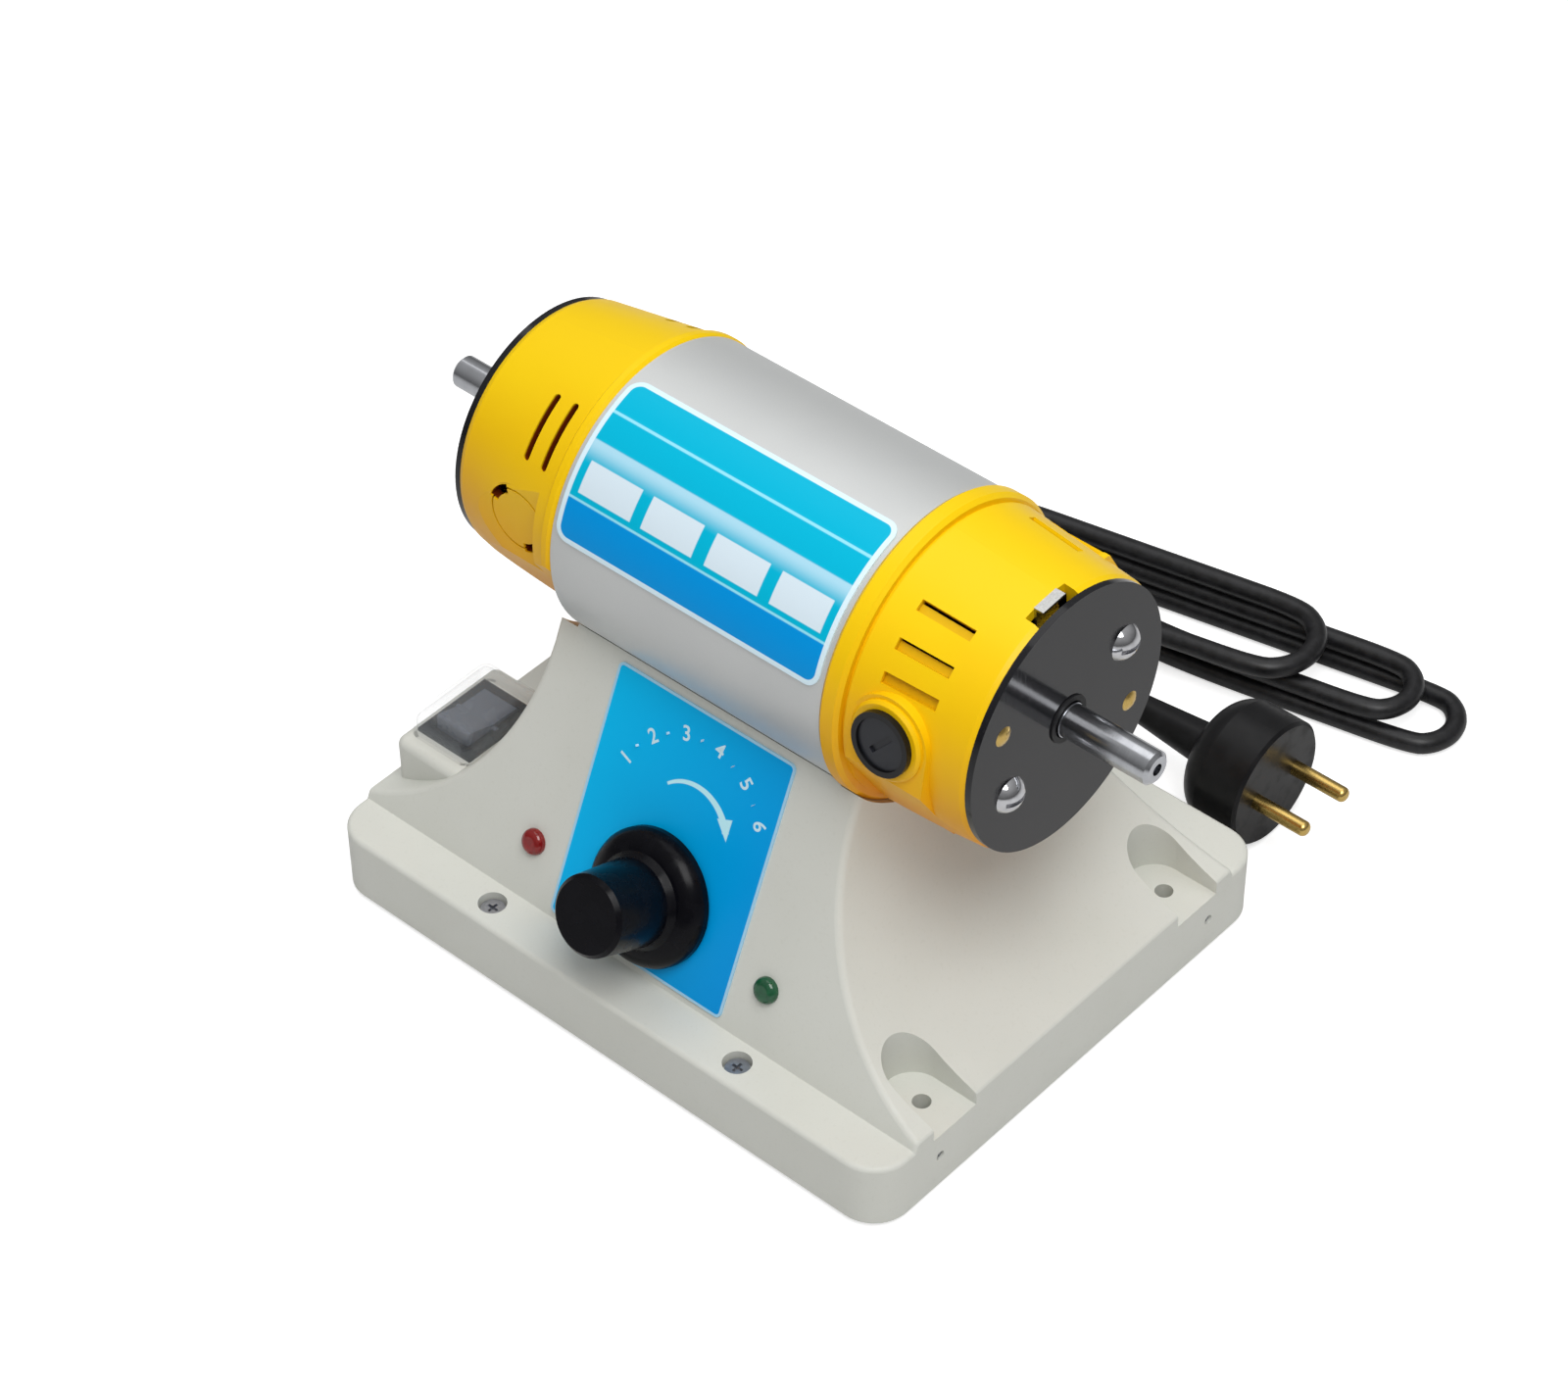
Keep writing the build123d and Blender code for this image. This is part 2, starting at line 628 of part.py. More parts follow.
def motor_bolts():
    """Bolts from inside the base, up through the cradle into the barrel."""
    bolts = []
    seat = AXIS_Z - CAP_RING_R - CRADLE_GAP - WALL
    top = AXIS_Z - HOUSING_R + HOUSING_WALL
    for x in (-MOTOR_BOLT_X, MOTOR_BOLT_X):
        head = upright(x, 0, seat - MOTOR_BOLT_HEAD_HEIGHT, MOTOR_BOLT_HEAD_R, MOTOR_BOLT_HEAD_HEIGHT)
        socket = Pos(x, 0, seat - MOTOR_BOLT_HEAD_HEIGHT) * extrude(RegularPolygon(2.4, 6), amount=2.0)
        bolts.append(head + upright(x, 0, seat, MOTOR_BOLT_R, top - seat) - socket)
    return bolts


# Motor


def motor_housing():
    barrel = along_shaft(-HOUSING_END, HOUSING_R, HOUSING_LENGTH)
    bore = along_shaft(-HOUSING_END, HOUSING_R - HOUSING_WALL, HOUSING_LENGTH)
    barrel = barrel - bore
    for x in (-MOTOR_BOLT_X, MOTOR_BOLT_X):
        barrel = barrel - upright(x, 0, PLATE_Z, MOTOR_BOLT_R, AXIS_Z - PLATE_Z)
    return barrel


def brush_bore(side):
    """A brush's place on the axis, looking out along its way; side is -1 in front and 1 behind."""
    return Pos(PAD_X, 0, AXIS_Z) * Rot(-side * 90 - BRUSH_TILT, 0, 0)


def brush_pad():
    """A pad of the brush end: a collar on a round-topped pad that slopes back into the cap."""
    collar = Cylinder(COLLAR_R, PAD_PROUD, align=UP)
    collar = chamfer(collar.faces().sort_by(Axis.Z)[-1].edges(), COLLAR_CHAMFER)
    round_top = Cylinder(PAD_WIDTH / 2, PAD_FACE, align=UP)
    toe_y, toe_z = PAD_TOE
    side_points = [(0, 0), (0, PAD_FACE), (-PAD_FOLD, PAD_FACE), (-toe_y, toe_z), (-toe_y, 0)]
    side = Plane.YZ * make_face(Polyline(*side_points, close=True))
    return collar + round_top + extrude(side, amount=PAD_WIDTH / 2, both=True)


def beyond_flat(angle, distance, start, end):
    """All that lies further out than a plane at that angle and distance from the axis."""
    block = Box(end - start, 2 * CAP_RING_R, CAP_RING_R, align=UP)
    return radial((start + end) / 2, angle, distance) * block


def cap_flats(lower, inset, start):
    """What the flats low on a cap cut away, at the front and at the back."""
    angles = (LOWER_FLAT_ANGLE, 540.0 - LOWER_FLAT_ANGLE)
    return [beyond_flat(angle, lower - inset, start, CAP_END + 1) for angle in angles]


def brush_cap_collar():
    """The outline of the brush end's ring and groove."""
    ring_end = HOUSING_END + CAP_RING_WIDTH
    return [
        (HOUSING_END, CAP_RING_R - RING_CHAMFER),
        (HOUSING_END + RING_CHAMFER, CAP_RING_R),
        (ring_end - RING_CHAMFER, CAP_RING_R),
        (ring_end, CAP_RING_R - RING_CHAMFER),
        (ring_end, CAP_GROOVE_R),
        (GROOVE_END, CAP_GROOVE_R),
        (GROOVE_END, CAP_ROOT_R),
    ]


def fan_cap_collar():
    """The outline of the fan end's ring and the step behind it."""
    ring_end = HOUSING_END + FAN_CAP_RING_WIDTH
    return [
        (HOUSING_END, FAN_CAP_RING_R - RING_CHAMFER),
        (HOUSING_END + RING_CHAMFER, FAN_CAP_RING_R),
        (ring_end, FAN_CAP_RING_R),
        (ring_end + FAN_CAP_RING_STEP, FAN_CAP_ROOT_R),
    ]


def cap_outside(collar, end, tip_r):
    """The turned outside of a cap: spigot, collar, tapering body and rim."""
    spigot_r = HOUSING_R - HOUSING_WALL - SPIGOT_GAP
    spigot = [
        (HOUSING_END - SPIGOT_LENGTH, 0),
        (HOUSING_END - SPIGOT_LENGTH, spigot_r),
        (HOUSING_END, spigot_r),
    ]
    rim = [(end - CAP_TIP_CHAMFER, tip_r), (end, tip_r - CAP_TIP_CHAMFER / 2), (end, 0)]
    return turned(spigot + collar + rim)


def cap_inside(end, tip_r):
    """The turned room inside a cap."""
    inner_end = end - END_WALL
    spigot_r = HOUSING_R - HOUSING_WALL - SPIGOT_GAP
    outline = [
        (HOUSING_END - SPIGOT_LENGTH, 0),
        (HOUSING_END - SPIGOT_LENGTH, spigot_r - CAP_WALL),
        (GROOVE_END, CAP_GROOVE_R - CAP_WALL),
        (inner_end, tip_r - CAP_WALL),
        (inner_end, 0),
    ]
    return turned(outline)


def cap_fittings(body, end):
    """The cap's body with its bearing seat, shaft hole, screw columns and rivet holes."""
    inner = end - BEARING_DEPTH
    boss = along_shaft(inner, BEARING_R + BOSS_WALL, BEARING_DEPTH - END_WALL)
    seat = along_shaft(inner, BEARING_R + RUNNING_GAP, BEARING_WIDTH)
    hole = along_shaft(inner, SEAL_R + RUNNING_GAP, BEARING_DEPTH)
    body = body + boss - seat - hole
    for angle in PLATE_SCREW_ANGLES:
        place = Pos(*on_disc(end, PLATE_SCREW_PITCH_R, angle)) * Rot(0, -90, 0)
        depth = PLATE_SCREW_LENGTH - PLATE_THICKNESS
        column = place * Cylinder(PLATE_SCREW_R + BOSS_WALL, depth + 2.0, align=UP)
        body = body + column - place * Cylinder(PLATE_SCREW_R, depth, align=UP)
    for angle in RIVET_ANGLES:
        place = Pos(*on_disc(end, RIVET_PITCH_R, angle)) * Rot(0, -90, 0)
        body = body - place * Cylinder(RIVET_SHANK_R, END_WALL - 1.0, align=UP)
    return body


def axial_vent(x, angle):
    """A vent along the shaft: a recess that follows the cap's taper, with a gap along its upper edge."""
    slope = (CAP_ROOT_R - CAP_TIP_R) / (CAP_END - CAP_TIP_CHAMFER - GROOVE_END)
    surface_r = CAP_ROOT_R - slope * (x - GROOVE_END)
    place = radial(x, angle, surface_r) * Rot(0, math.degrees(math.atan(slope)), 0)
    recess = Box(AXIAL_SLOT_LENGTH, AXIAL_SLOT_WIDTH, 2 * AXIAL_SLOT_DEPTH)
    upwards = 1 if angle > 90 else -1
    rise = (AXIAL_SLOT_WIDTH - AXIAL_SLOT_GAP) / 2
    gap = Pos(0, upwards * rise, 0) * Box(AXIAL_SLOT_LENGTH, AXIAL_SLOT_GAP, 4 * CAP_WALL)
    return place * (recess + gap)


def round_ended(x, width, floor_r, first, last):
    """A slot round the shaft with round ends, cut from outside down to a radius."""
    middle = x + width / 2
    slot = sector(x, width, floor_r, CAP_RING_R, first, last)
    for angle in (first, last):
        slot = slot + radial(middle, angle, floor_r) * Cylinder(width / 2, CAP_RING_R - floor_r, align=UP)
    return slot


def ring_vent(x, first, last):
    """A vent round the fan end's cap: a recess with a gap down its middle."""
    start = HOUSING_END + FAN_CAP_RING_WIDTH + FAN_CAP_RING_STEP
    slope = (FAN_CAP_ROOT_R - FAN_CAP_TIP_R) / (FAN_CAP_END - CAP_TIP_CHAMFER - start)
    surface_r = FAN_CAP_ROOT_R - slope * (x - start)
    recess = round_ended(x, RING_SLOT_WIDTH, surface_r - RING_SLOT_DEPTH, first, last)
    middle = x + (RING_SLOT_WIDTH - RING_SLOT_GAP) / 2
    return recess + round_ended(middle, RING_SLOT_GAP, surface_r - 3 * CAP_WALL, first, last)


def right_end_cap():
    """Brush end: three vents along the shaft each side, a notch at the top and two brush bores."""
    shell = cap_outside(brush_cap_collar(), CAP_END, CAP_TIP_R)
    for side in (-1, 1):
        shell = shell + brush_bore(side) * brush_pad()
    for cut in cap_flats(RIGHT_LOWER_FLAT, 0, GROOVE_END):
        shell = shell - cut
    cap = cap_fittings(shell - cap_inside(CAP_END, CAP_TIP_R), CAP_END)
    middle = HOUSING_END + AXIAL_SLOT_INSET + AXIAL_SLOT_LENGTH / 2
    for angle in AXIAL_SLOT_ANGLES:
        for place in (angle, 180.0 - angle):
            cap = cap - axial_vent(middle, place)
    notch = Box(2 * NOTCH_LENGTH, NOTCH_WIDTH, 2 * NOTCH_DEPTH)
    cap = cap - radial(CAP_END, NOTCH_ANGLE, CAP_TIP_R) * notch
    for side in (-1, 1):
        bore = Cylinder(HOLDER_TUBE_R + RUNNING_GAP, PAD_PROUD + WALL, align=UP)
        cap = cap - brush_bore(side) * bore
    return cap


def cap_clip():
    """Bent spring steel strip in the notch: a foot on the end wall and a leaf under the rim."""
    inner = CAP_END - NOTCH_LENGTH
    foot_r = CAP_TIP_R - NOTCH_DEPTH
    height = CLIP_R - foot_r
    base = (Align.MIN, Align.CENTER, Align.MIN)
    leg = Box(CLIP_THICKNESS, CLIP_WIDTH, height, align=base)
    leaf = Box(CLIP_LENGTH, CLIP_WIDTH, CLIP_THICKNESS, align=base)
    return radial(inner, NOTCH_ANGLE, foot_r) * (leg + Pos(0, 0, height - CLIP_THICKNESS) * leaf)


def blank_place(side):
    """The middle of a blanking plug's face, looking out; side is -1 at the front and 1 at the back."""
    return Pos(-BLANK_X, side * SIDE_FLAT, AXIS_Z + BLANK_Z) * Rot(-side * 90, 0, 0)


def blank_notches(side):
    """The two curved notches across a plug's rim, cut down from the origin."""
    inner, outer = BLANK_NOTCH_RS
    ring = Cylinder(outer, BLANK_NOTCH_DEPTH, align=DOWN) - Cylinder(inner, BLANK_NOTCH_DEPTH, align=DOWN)
    reach = 2 * outer
    rise = reach * math.tan(math.radians(BLANK_NOTCH_HALF_ANGLE))
    wedge_face = make_face(Polyline((0, 0), (reach, -rise), (reach, rise), close=True))
    wedge = extrude(wedge_face, amount=-BLANK_NOTCH_DEPTH)
    return [Rot(0, 0, -side * angle) * (ring & wedge) for angle in BLANK_NOTCH_ANGLES]


def left_end_cap():
    """Fan end: flat sides with a recess for a plug, two vents round the cap each side."""
    shell = cap_outside(fan_cap_collar(), FAN_CAP_END, FAN_CAP_TIP_R)
    room = cap_inside(FAN_CAP_END, FAN_CAP_TIP_R)
    for cut in cap_flats(LEFT_LOWER_FLAT, 0, HOUSING_END):
        shell = shell - cut
    for cut in cap_flats(LEFT_LOWER_FLAT, CAP_WALL, HOUSING_END - CAP_WALL):
        room = room - cut
    for angle in (0.0, 180.0):
        shell = shell - beyond_flat(angle, SIDE_FLAT, GROOVE_END, CAP_END + 1)
        room = room - beyond_flat(angle, SIDE_FLAT - CAP_WALL, GROOVE_END - CAP_WALL, CAP_END)
    cap = cap_fittings(shell - room, FAN_CAP_END)
    start, end = RING_SLOT_ANGLES
    for inset in RING_SLOT_INSETS:
        for first, last in ((start, end), (180.0 - end, 180.0 - start)):
            cap = cap - ring_vent(HOUSING_END + inset, first, last)
    cap = mirror(cap, about=Plane.YZ)
    for side in (-1, 1):
        recess = Cylinder(BLANK_R + BLANK_GAP, BLANK_HEAD, align=DOWN)
        outline = Cylinder(BLANK_R + BLANK_OUTLINE, BLANK_OUTLINE_DEPTH, align=DOWN)
        stem_hole = Cylinder(BLANK_STEM_R + BLANK_GAP, 2 * CAP_WALL, align=DOWN)
        for cut in [recess, outline, stem_hole] + blank_notches(side):
            cap = cap - blank_place(side) * cut
    return cap


def blanking_plugs():
    """Flush round plugs in the fan end's flats, with two notches at the rim to turn them by."""
    plugs = []
    for side in (-1, 1):
        head = Cylinder(BLANK_R, BLANK_HEAD, align=DOWN)
        stem = Pos(0, 0, -BLANK_HEAD) * Cylinder(BLANK_STEM_R, BLANK_STEM - BLANK_HEAD, align=DOWN)
        plug = head + stem
        for notch in blank_notches(side):
            plug = plug - notch
        plugs.append(blank_place(side) * plug)
    return plugs


def end_plate(radius):
    plate = along_shaft(CAP_END, radius, PLATE_THICKNESS)
    plate = plate - along_shaft(CAP_END, SEAL_R + SEAL_GAP, PLATE_THICKNESS)
    for angle in PLATE_SCREW_ANGLES:
        hole = Cylinder(PLATE_SCREW_R + 0.2, 4 * PLATE_THICKNESS)
        plate = plate - Pos(*on_disc(CAP_END, PLATE_SCREW_PITCH_R, angle)) * Rot(0, 90, 0) * hole
    for angle in RIVET_ANGLES:
        hole = Cylinder(RIVET_SHANK_R + 0.1, 4 * PLATE_THICKNESS)
        plate = plate - Pos(*on_disc(CAP_END, RIVET_PITCH_R, angle)) * Rot(0, 90, 0) * hole
    return plate


def end_plate_screws():
    """Domed slotted screws through the end plates into the caps."""
    screws = []
    crown = PLATE_SCREW_HEAD_HEIGHT
    sphere_r = (PLATE_SCREW_HEAD_R**2 + crown**2) / (2 * crown)
    for angle in PLATE_SCREW_ANGLES:
        dome = Pos(0, 0, crown - sphere_r) * Sphere(sphere_r)
        head = dome & Cylinder(PLATE_SCREW_HEAD_R, crown, align=UP)
        shank = Pos(0, 0, -PLATE_SCREW_LENGTH) * Cylinder(PLATE_SCREW_R, PLATE_SCREW_LENGTH, align=UP)
        slot = Box(PLATE_SCREW_SLOT, 3 * PLATE_SCREW_HEAD_R, PLATE_SCREW_SLOT_DEPTH, align=DOWN)
        screw = head + shank - Pos(0, 0, crown) * slot
        place = Pos(*on_disc(PLATE_FACE, PLATE_SCREW_PITCH_R, angle)) * Rot(0, 90, 0)
        screws += both_ends(place * screw)
    return screws


def end_plate_rivets():
    """Brass rivets with low round heads."""
    rivets = []
    crown = RIVET_HEAD_HEIGHT
    sphere_r = (RIVET_HEAD_R**2 + crown**2) / (2 * crown)
    for angle in RIVET_ANGLES:
        dome = Pos(0, 0, crown - sphere_r) * Sphere(sphere_r)
        head = dome & Cylinder(RIVET_HEAD_R, crown, align=UP)
        length = PLATE_THICKNESS + END_WALL - 1.5
        shank = Pos(0, 0, -length) * Cylinder(RIVET_SHANK_R, length, align=UP)
        place = Pos(*on_disc(PLATE_FACE, RIVET_PITCH_R, angle)) * Rot(0, 90, 0)
        rivets += both_ends(place * (head + shank))
    return rivets


def shaft_seals():
    """Rings in the end plates round the shaft, with a lip in front of its journal, clear of it all."""
    start = CAP_END - END_WALL + 1.4
    ring = along_shaft(start, SEAL_R, PLATE_FACE + SEAL_PROUD - start)
    ring = ring - along_shaft(start, JOURNAL_R + SEAL_CLEARANCE, CAP_END + SEAL_LIP - start)
    return both_ends(ring - along_shaft(start, SEAT_R + SEAL_CLEARANCE, CAP_LENGTH))


def bearing_outer_ring():
    ring = along_shaft(BEARING_X, BEARING_R, BEARING_WIDTH)
    return ring - along_shaft(BEARING_X, BEARING_R - BEARING_RING, BEARING_WIDTH)


def bearing_inner_ring():
    bore_r = JOURNAL_R + RUNNING_GAP
    ring = along_shaft(BEARING_X, bore_r + BEARING_RING, BEARING_WIDTH)
    return ring - along_shaft(BEARING_X, bore_r, BEARING_WIDTH)


def bearing_balls():
    pitch_r = (BEARING_R + JOURNAL_R + RUNNING_GAP) / 2
    middle = BEARING_X + BEARING_WIDTH / 2
    balls = []
    for index in range(BALL_COUNT):
        place = on_disc(middle, pitch_r, 360.0 * index / BALL_COUNT)
        balls.append(Pos(*place) * Sphere(BALL_R))
    return balls


def stator_core():
    """Laminated yoke with two poles, left and right of the armature."""
    start = -STATOR_LENGTH / 2
    core = along_shaft(start, YOKE_R, STATOR_LENGTH) - along_shaft(start, YOKE_R - YOKE_WALL, STATOR_LENGTH)
    for middle in (0.0, 180.0):
        pole = sector(
            start,
            STATOR_LENGTH,
            POLE_R,
            YOKE_R - YOKE_WALL / 2,
            middle - POLE_HALF_ANGLE,
            middle + POLE_HALF_ANGLE,
        )
        core = core + pole
    return core


def field_coils():
    """One coil round each pole, a closed frame bent to the armature's curve."""
    coils = []
    inner_r = POLE_R + 2.0
    outer_r = YOKE_R - YOKE_WALL - COIL_GAP
    gap_angle = math.degrees(COIL_GAP / inner_r) + 1.0
    width_angle = math.degrees(COIL_WIDTH / outer_r)
    for middle in (0.0, 180.0):
        inside = POLE_HALF_ANGLE + gap_angle
        outside = inside + width_angle
        half = STATOR_LENGTH / 2 + COIL_GAP
        full = half + COIL_WIDTH
        frame = sector(-full, 2 * full, inner_r, outer_r, middle - outside, middle + outside)
        window = sector(-half, 2 * half, inner_r - 1, outer_r + 1, middle - inside, middle + inside)
        coils.append(frame - window)
    return coils


def brush_holders():
    """Insulating tubes with a flange on the pad, down to just above the commutator."""
    holders = []
    reach = COMMUTATOR_R + 2.0
    for side in (-1, 1):
        tube = Pos(0, 0, reach) * Cylinder(HOLDER_TUBE_R, PAD_PROUD - reach, align=UP)
        flange = Pos(0, 0, PAD_PROUD) * Cylinder(HOLDER_R, HOLDER_FLANGE, align=UP)
        slide = Pos(0, 0, reach) * Box(BRUSH_SIZE + 0.2, BRUSH_SIZE + 0.2, PAD_PROUD, align=UP)
        cap_seat = Pos(0, 0, PAD_PROUD - 4.0) * Cylinder(BRUSH_THREAD_R + 0.1, 10.0, align=UP)
        mouth = Pos(0, 0, PAD_PROUD) * Cylinder(BRUSH_CAP_R + 0.1, 10.0, align=UP)
        holder = tube + flange - slide - cap_seat - mouth
        holders.append(brush_bore(side) * holder)
    return holders


def carbon_brushes():
    brushes = []
    reach = COMMUTATOR_R + BRUSH_GAP
    for side in (-1, 1):
        brush = Pos(0, 0, reach) * Box(BRUSH_SIZE, BRUSH_SIZE, BRUSH_LENGTH, align=UP)
        brushes.append(brush_bore(side) * brush - along_shaft(PAD_X - PAD_WIDTH, reach, 2 * PAD_WIDTH))
    return brushes


def brush_springs():
    """Round wire springs between each brush and its cap."""
    springs = []
    start = COMMUTATOR_R + BRUSH_GAP + BRUSH_LENGTH + SPRING_WIRE_R + 0.05
    end = PAD_PROUD - 3.0 - SPRING_WIRE_R - 0.05
    pitch = (end - start) / SPRING_TURNS
    for side in (-1, 1):
        helix = Helix(pitch, end - start, SPRING_R)
        section = Plane(origin=helix @ 0, z_dir=helix % 0) * Circle(SPRING_WIRE_R)
        spring = sweep(section, path=helix, is_frenet=True)
        springs.append(brush_bore(side) * Pos(0, 0, start) * spring)
    return springs


def brush_caps():
    """Slotted caps screwed into the brush holders."""
    caps = []
    face = HOLDER_FLANGE - BRUSH_CAP_SUNK
    for side in (-1, 1):
        head = Cylinder(BRUSH_CAP_R, face, align=UP)
        thread = Cylinder(BRUSH_THREAD_R, BRUSH_CAP_THREAD, align=DOWN)
        slot = Pos(0, 0, face) * Rot(0, 0, -side * BRUSH_SLOT_ANGLE) * Box(*BRUSH_SLOT, 2 * BRUSH_CAP_SUNK)
        caps.append(brush_bore(side) * Pos(0, 0, PAD_PROUD) * (head + thread - slot))
    return caps


# Spindle


def spindle_shaft():
    """Ground bar, thicker in the seals and through the motor, with a centre hole in each end."""
    bar = along_shaft(-SHAFT_END, SHAFT_R, SHAFT_LENGTH)
    rims = bar.edges().filter_by(GeomType.CIRCLE)
    bar = chamfer(rims, SHAFT_CHAMFER)
    seat_start = -FAN_CAP_END - PLATE_THICKNESS - SEAT_PROUD
    bar = bar + along_shaft(seat_start, SEAT_R, PLATE_FACE + SEAT_PROUD - seat_start)
    journal_start = -FAN_CAP_END - SEAL_LIP / 2
    bar = bar + along_shaft(journal_start, JOURNAL_R, CAP_END + SEAL_LIP / 2 - journal_start)
    drill = along_shaft(SHAFT_END - CENTRE_HOLE_DEPTH, CENTRE_HOLE_R, CENTRE_HOLE_DEPTH)
    return bar - drill - mirror(drill, about=Plane.YZ)


def armature_core():
    """Laminated core with open slots for the windings."""
    start = -CORE_LENGTH / 2
    core = along_shaft(start, CORE_R, CORE_LENGTH) - along_shaft(start, JOURNAL_R + RUNNING_GAP, CORE_LENGTH)
    for index in range(CORE_SLOTS):
        place = radial(0, 360.0 * index / CORE_SLOTS, CORE_R)
        core = core - place * Box(CORE_LENGTH, CORE_SLOT_WIDTH, 2 * CORE_SLOT_DEPTH)
    return core


def armature_windings():
    """Bars in the slots, joined to a bundle of end turns at each end of the core."""
    inner = JOURNAL_R + 2.0
    bundle = along_shaft(CORE_LENGTH / 2 + 0.2, WINDING_R, WINDING_LENGTH)
    bundle = fillet(bundle.edges().filter_by(GeomType.CIRCLE), 4.0)
    bundle = bundle - along_shaft(0, inner, CORE_LENGTH)
    windings = bundle + mirror(bundle, about=Plane.YZ)
    depth = CORE_SLOT_DEPTH - 1.0
    for index in range(CORE_SLOTS):
        place = radial(0, 360.0 * index / CORE_SLOTS, CORE_R - 0.5 - depth)
        bar = Box(CORE_LENGTH + 5.0, CORE_SLOT_WIDTH - 0.2, depth - 0.6, align=UP)
        windings = windings + place * bar
    return windings


def commutator():
    """Copper ring divided into bars."""
    start = PAD_X - COMMUTATOR_LENGTH / 2
    ring = along_shaft(start, COMMUTATOR_R, COMMUTATOR_LENGTH)
    ring = ring - along_shaft(start, JOURNAL_R + RUNNING_GAP, COMMUTATOR_LENGTH)
    for index in range(COMMUTATOR_BARS):
        place = radial(PAD_X, 360.0 * index / COMMUTATOR_BARS, COMMUTATOR_R)
        ring = ring - place * Box(2 * COMMUTATOR_LENGTH, 0.5, 3.0)
    return ring


def cooling_fan():
    """Radial fan: hub, web and straight blades."""
    hub = along_shaft(FAN_X, FAN_HUB_R, FAN_WIDTH)
    fan = hub + along_shaft(FAN_X, FAN_R, FAN_WEB)
    for index in range(FAN_BLADES):
        place = radial(FAN_X + FAN_WIDTH / 2, 360.0 * index / FAN_BLADES, FAN_HUB_R - 1.0)
        fan = fan + place * Box(FAN_WIDTH, 1.6, FAN_R - FAN_HUB_R, align=UP)
    return fan - along_shaft(FAN_X, JOURNAL_R + RUNNING_GAP, FAN_WIDTH)


# Panel, lamps and knob


def panel_label():
    """Thin plate on the sloping panel with a hole for the speed control's bush."""
    middle = LABEL_START + LABEL_LENGTH / 2
    outline = RectangleRounded(LABEL_WIDTH, LABEL_LENGTH, LABEL_CORNER)
    plate = extrude(outline, amount=LABEL_THICKNESS)
    hole = Pos(0, KNOB_S - middle, 0) * Cylinder(CONTROL_BUSH_R + 0.2, 4 * LABEL_THICKNESS)
    return panel_location(PANEL_X, middle) * (plate - hole)


def motor_label():
    """Thin plate bent round the front of the barrel."""
    start, end = MOTOR_LABEL_ANGLES
    inner = HOUSING_R + 0.02
    outer = inner + LABEL_THICKNESS
    plate = sector(-MOTOR_LABEL_LENGTH / 2, MOTOR_LABEL_LENGTH, inner, outer, start, end)
    short = [edge for edge in plate.edges() if abs(edge.length - LABEL_THICKNESS) < 0.01]
    return fillet(short, MOTOR_LABEL_CORNER)


def lamp(x):
    """Round lamp with a domed lens and a stem through the panel."""
    lens = Cylinder(LED_R, LED_PROUD, align=UP)
    lens = fillet(lens.faces().sort_by(Axis.Z)[-1].edges(), LED_PROUD - 0.4)
    stem = Pos(0, 0, -LED_STEM) * Cylinder(LED_STEM_R, LED_STEM, align=UP)
    return panel_location(PANEL_X + x, LED_S) * (lens + stem)


def speed_knob():
    """Knob with a wide rounded skirt and a tapering grip."""
    base = KNOB_GAP
    skirt_top = base + KNOB_FLANGE_HEIGHT
    skirt = Line((0, base), (KNOB_FLANGE_R, base))
    rise = Line(skirt @ 1, (KNOB_FLANGE_R, base + 2.0))
    shoulder = ThreePointArc(
        rise @ 1,
        (KNOB_FLANGE_R - 1.8, base + 5.0),
        (KNOB_GRIP_R + 1.5, skirt_top),
    )
    root = Line(shoulder @ 1, (KNOB_GRIP_R, skirt_top + 2.0))
    grip = Line(root @ 1, (KNOB_TIP_R, KNOB_HEIGHT - 1.2))
    edge = Line(grip @ 1, (KNOB_TIP_R - 1.2, KNOB_HEIGHT))
    top = Line(edge @ 1, (0, KNOB_HEIGHT))
    axis = Line(top @ 1, skirt @ 0)
    outline = Plane.XZ * make_face([skirt, rise, shoulder, root, grip, edge, top, axis])
    knob = revolve(outline, Axis.Z)
    hollow = Pos(0, 0, base) * Cylinder(CONTROL_BUSH_R + 3.5, 5.0, align=UP)
    bore = Pos(0, 0, base) * Cylinder(CONTROL_SHAFT_R + RUNNING_GAP, 16.0, align=UP)
    return panel_location(PANEL_X, KNOB_S, LABEL_THICKNESS) * (knob - hollow - bore)


def speed_control_spindle():
    length = CONTROL_BODY_DEPTH + WALL + LABEL_THICKNESS + KNOB_GAP + 12.0
    place = panel_location(PANEL_X, KNOB_S, -WALL - CONTROL_BODY_DEPTH + 2.0)
    return place * Cylinder(CONTROL_SHAFT_R, length, align=UP)


def speed_control_body():
    """Round control behind the panel with its threaded bush through it and three tags."""
    back = -WALL - CONTROL_BODY_DEPTH
    can = Pos(0, 0, back) * Cylinder(CONTROL_BODY_R, CONTROL_BODY_DEPTH, align=UP)
    bush = Pos(0, 0, -WALL) * Cylinder(CONTROL_BUSH_R, WALL + LABEL_THICKNESS + 3.0, align=UP)
    body = can + bush
    for x in (-5.0, 0.0, 5.0):
        body = body + Pos(x, -CONTROL_BODY_R - 2.0, back + 3.0) * Box(1.6, 6.0, 0.8)
    bore = Pos(0, 0, back + 1.8) * Cylinder(CONTROL_SHAFT_R + RUNNING_GAP, 40.0, align=UP)
    return panel_location(PANEL_X, KNOB_S) * (body - bore)


def speed_control_nut():
    nut = extrude(RegularPolygon(CONTROL_NUT_R, 6), amount=CONTROL_NUT_HEIGHT)
    nut = nut - Cylinder(CONTROL_BUSH_R + RUNNING_GAP, 4 * CONTROL_NUT_HEIGHT)
    return panel_location(PANEL_X, KNOB_S, LABEL_THICKNESS) * nut


# Switch


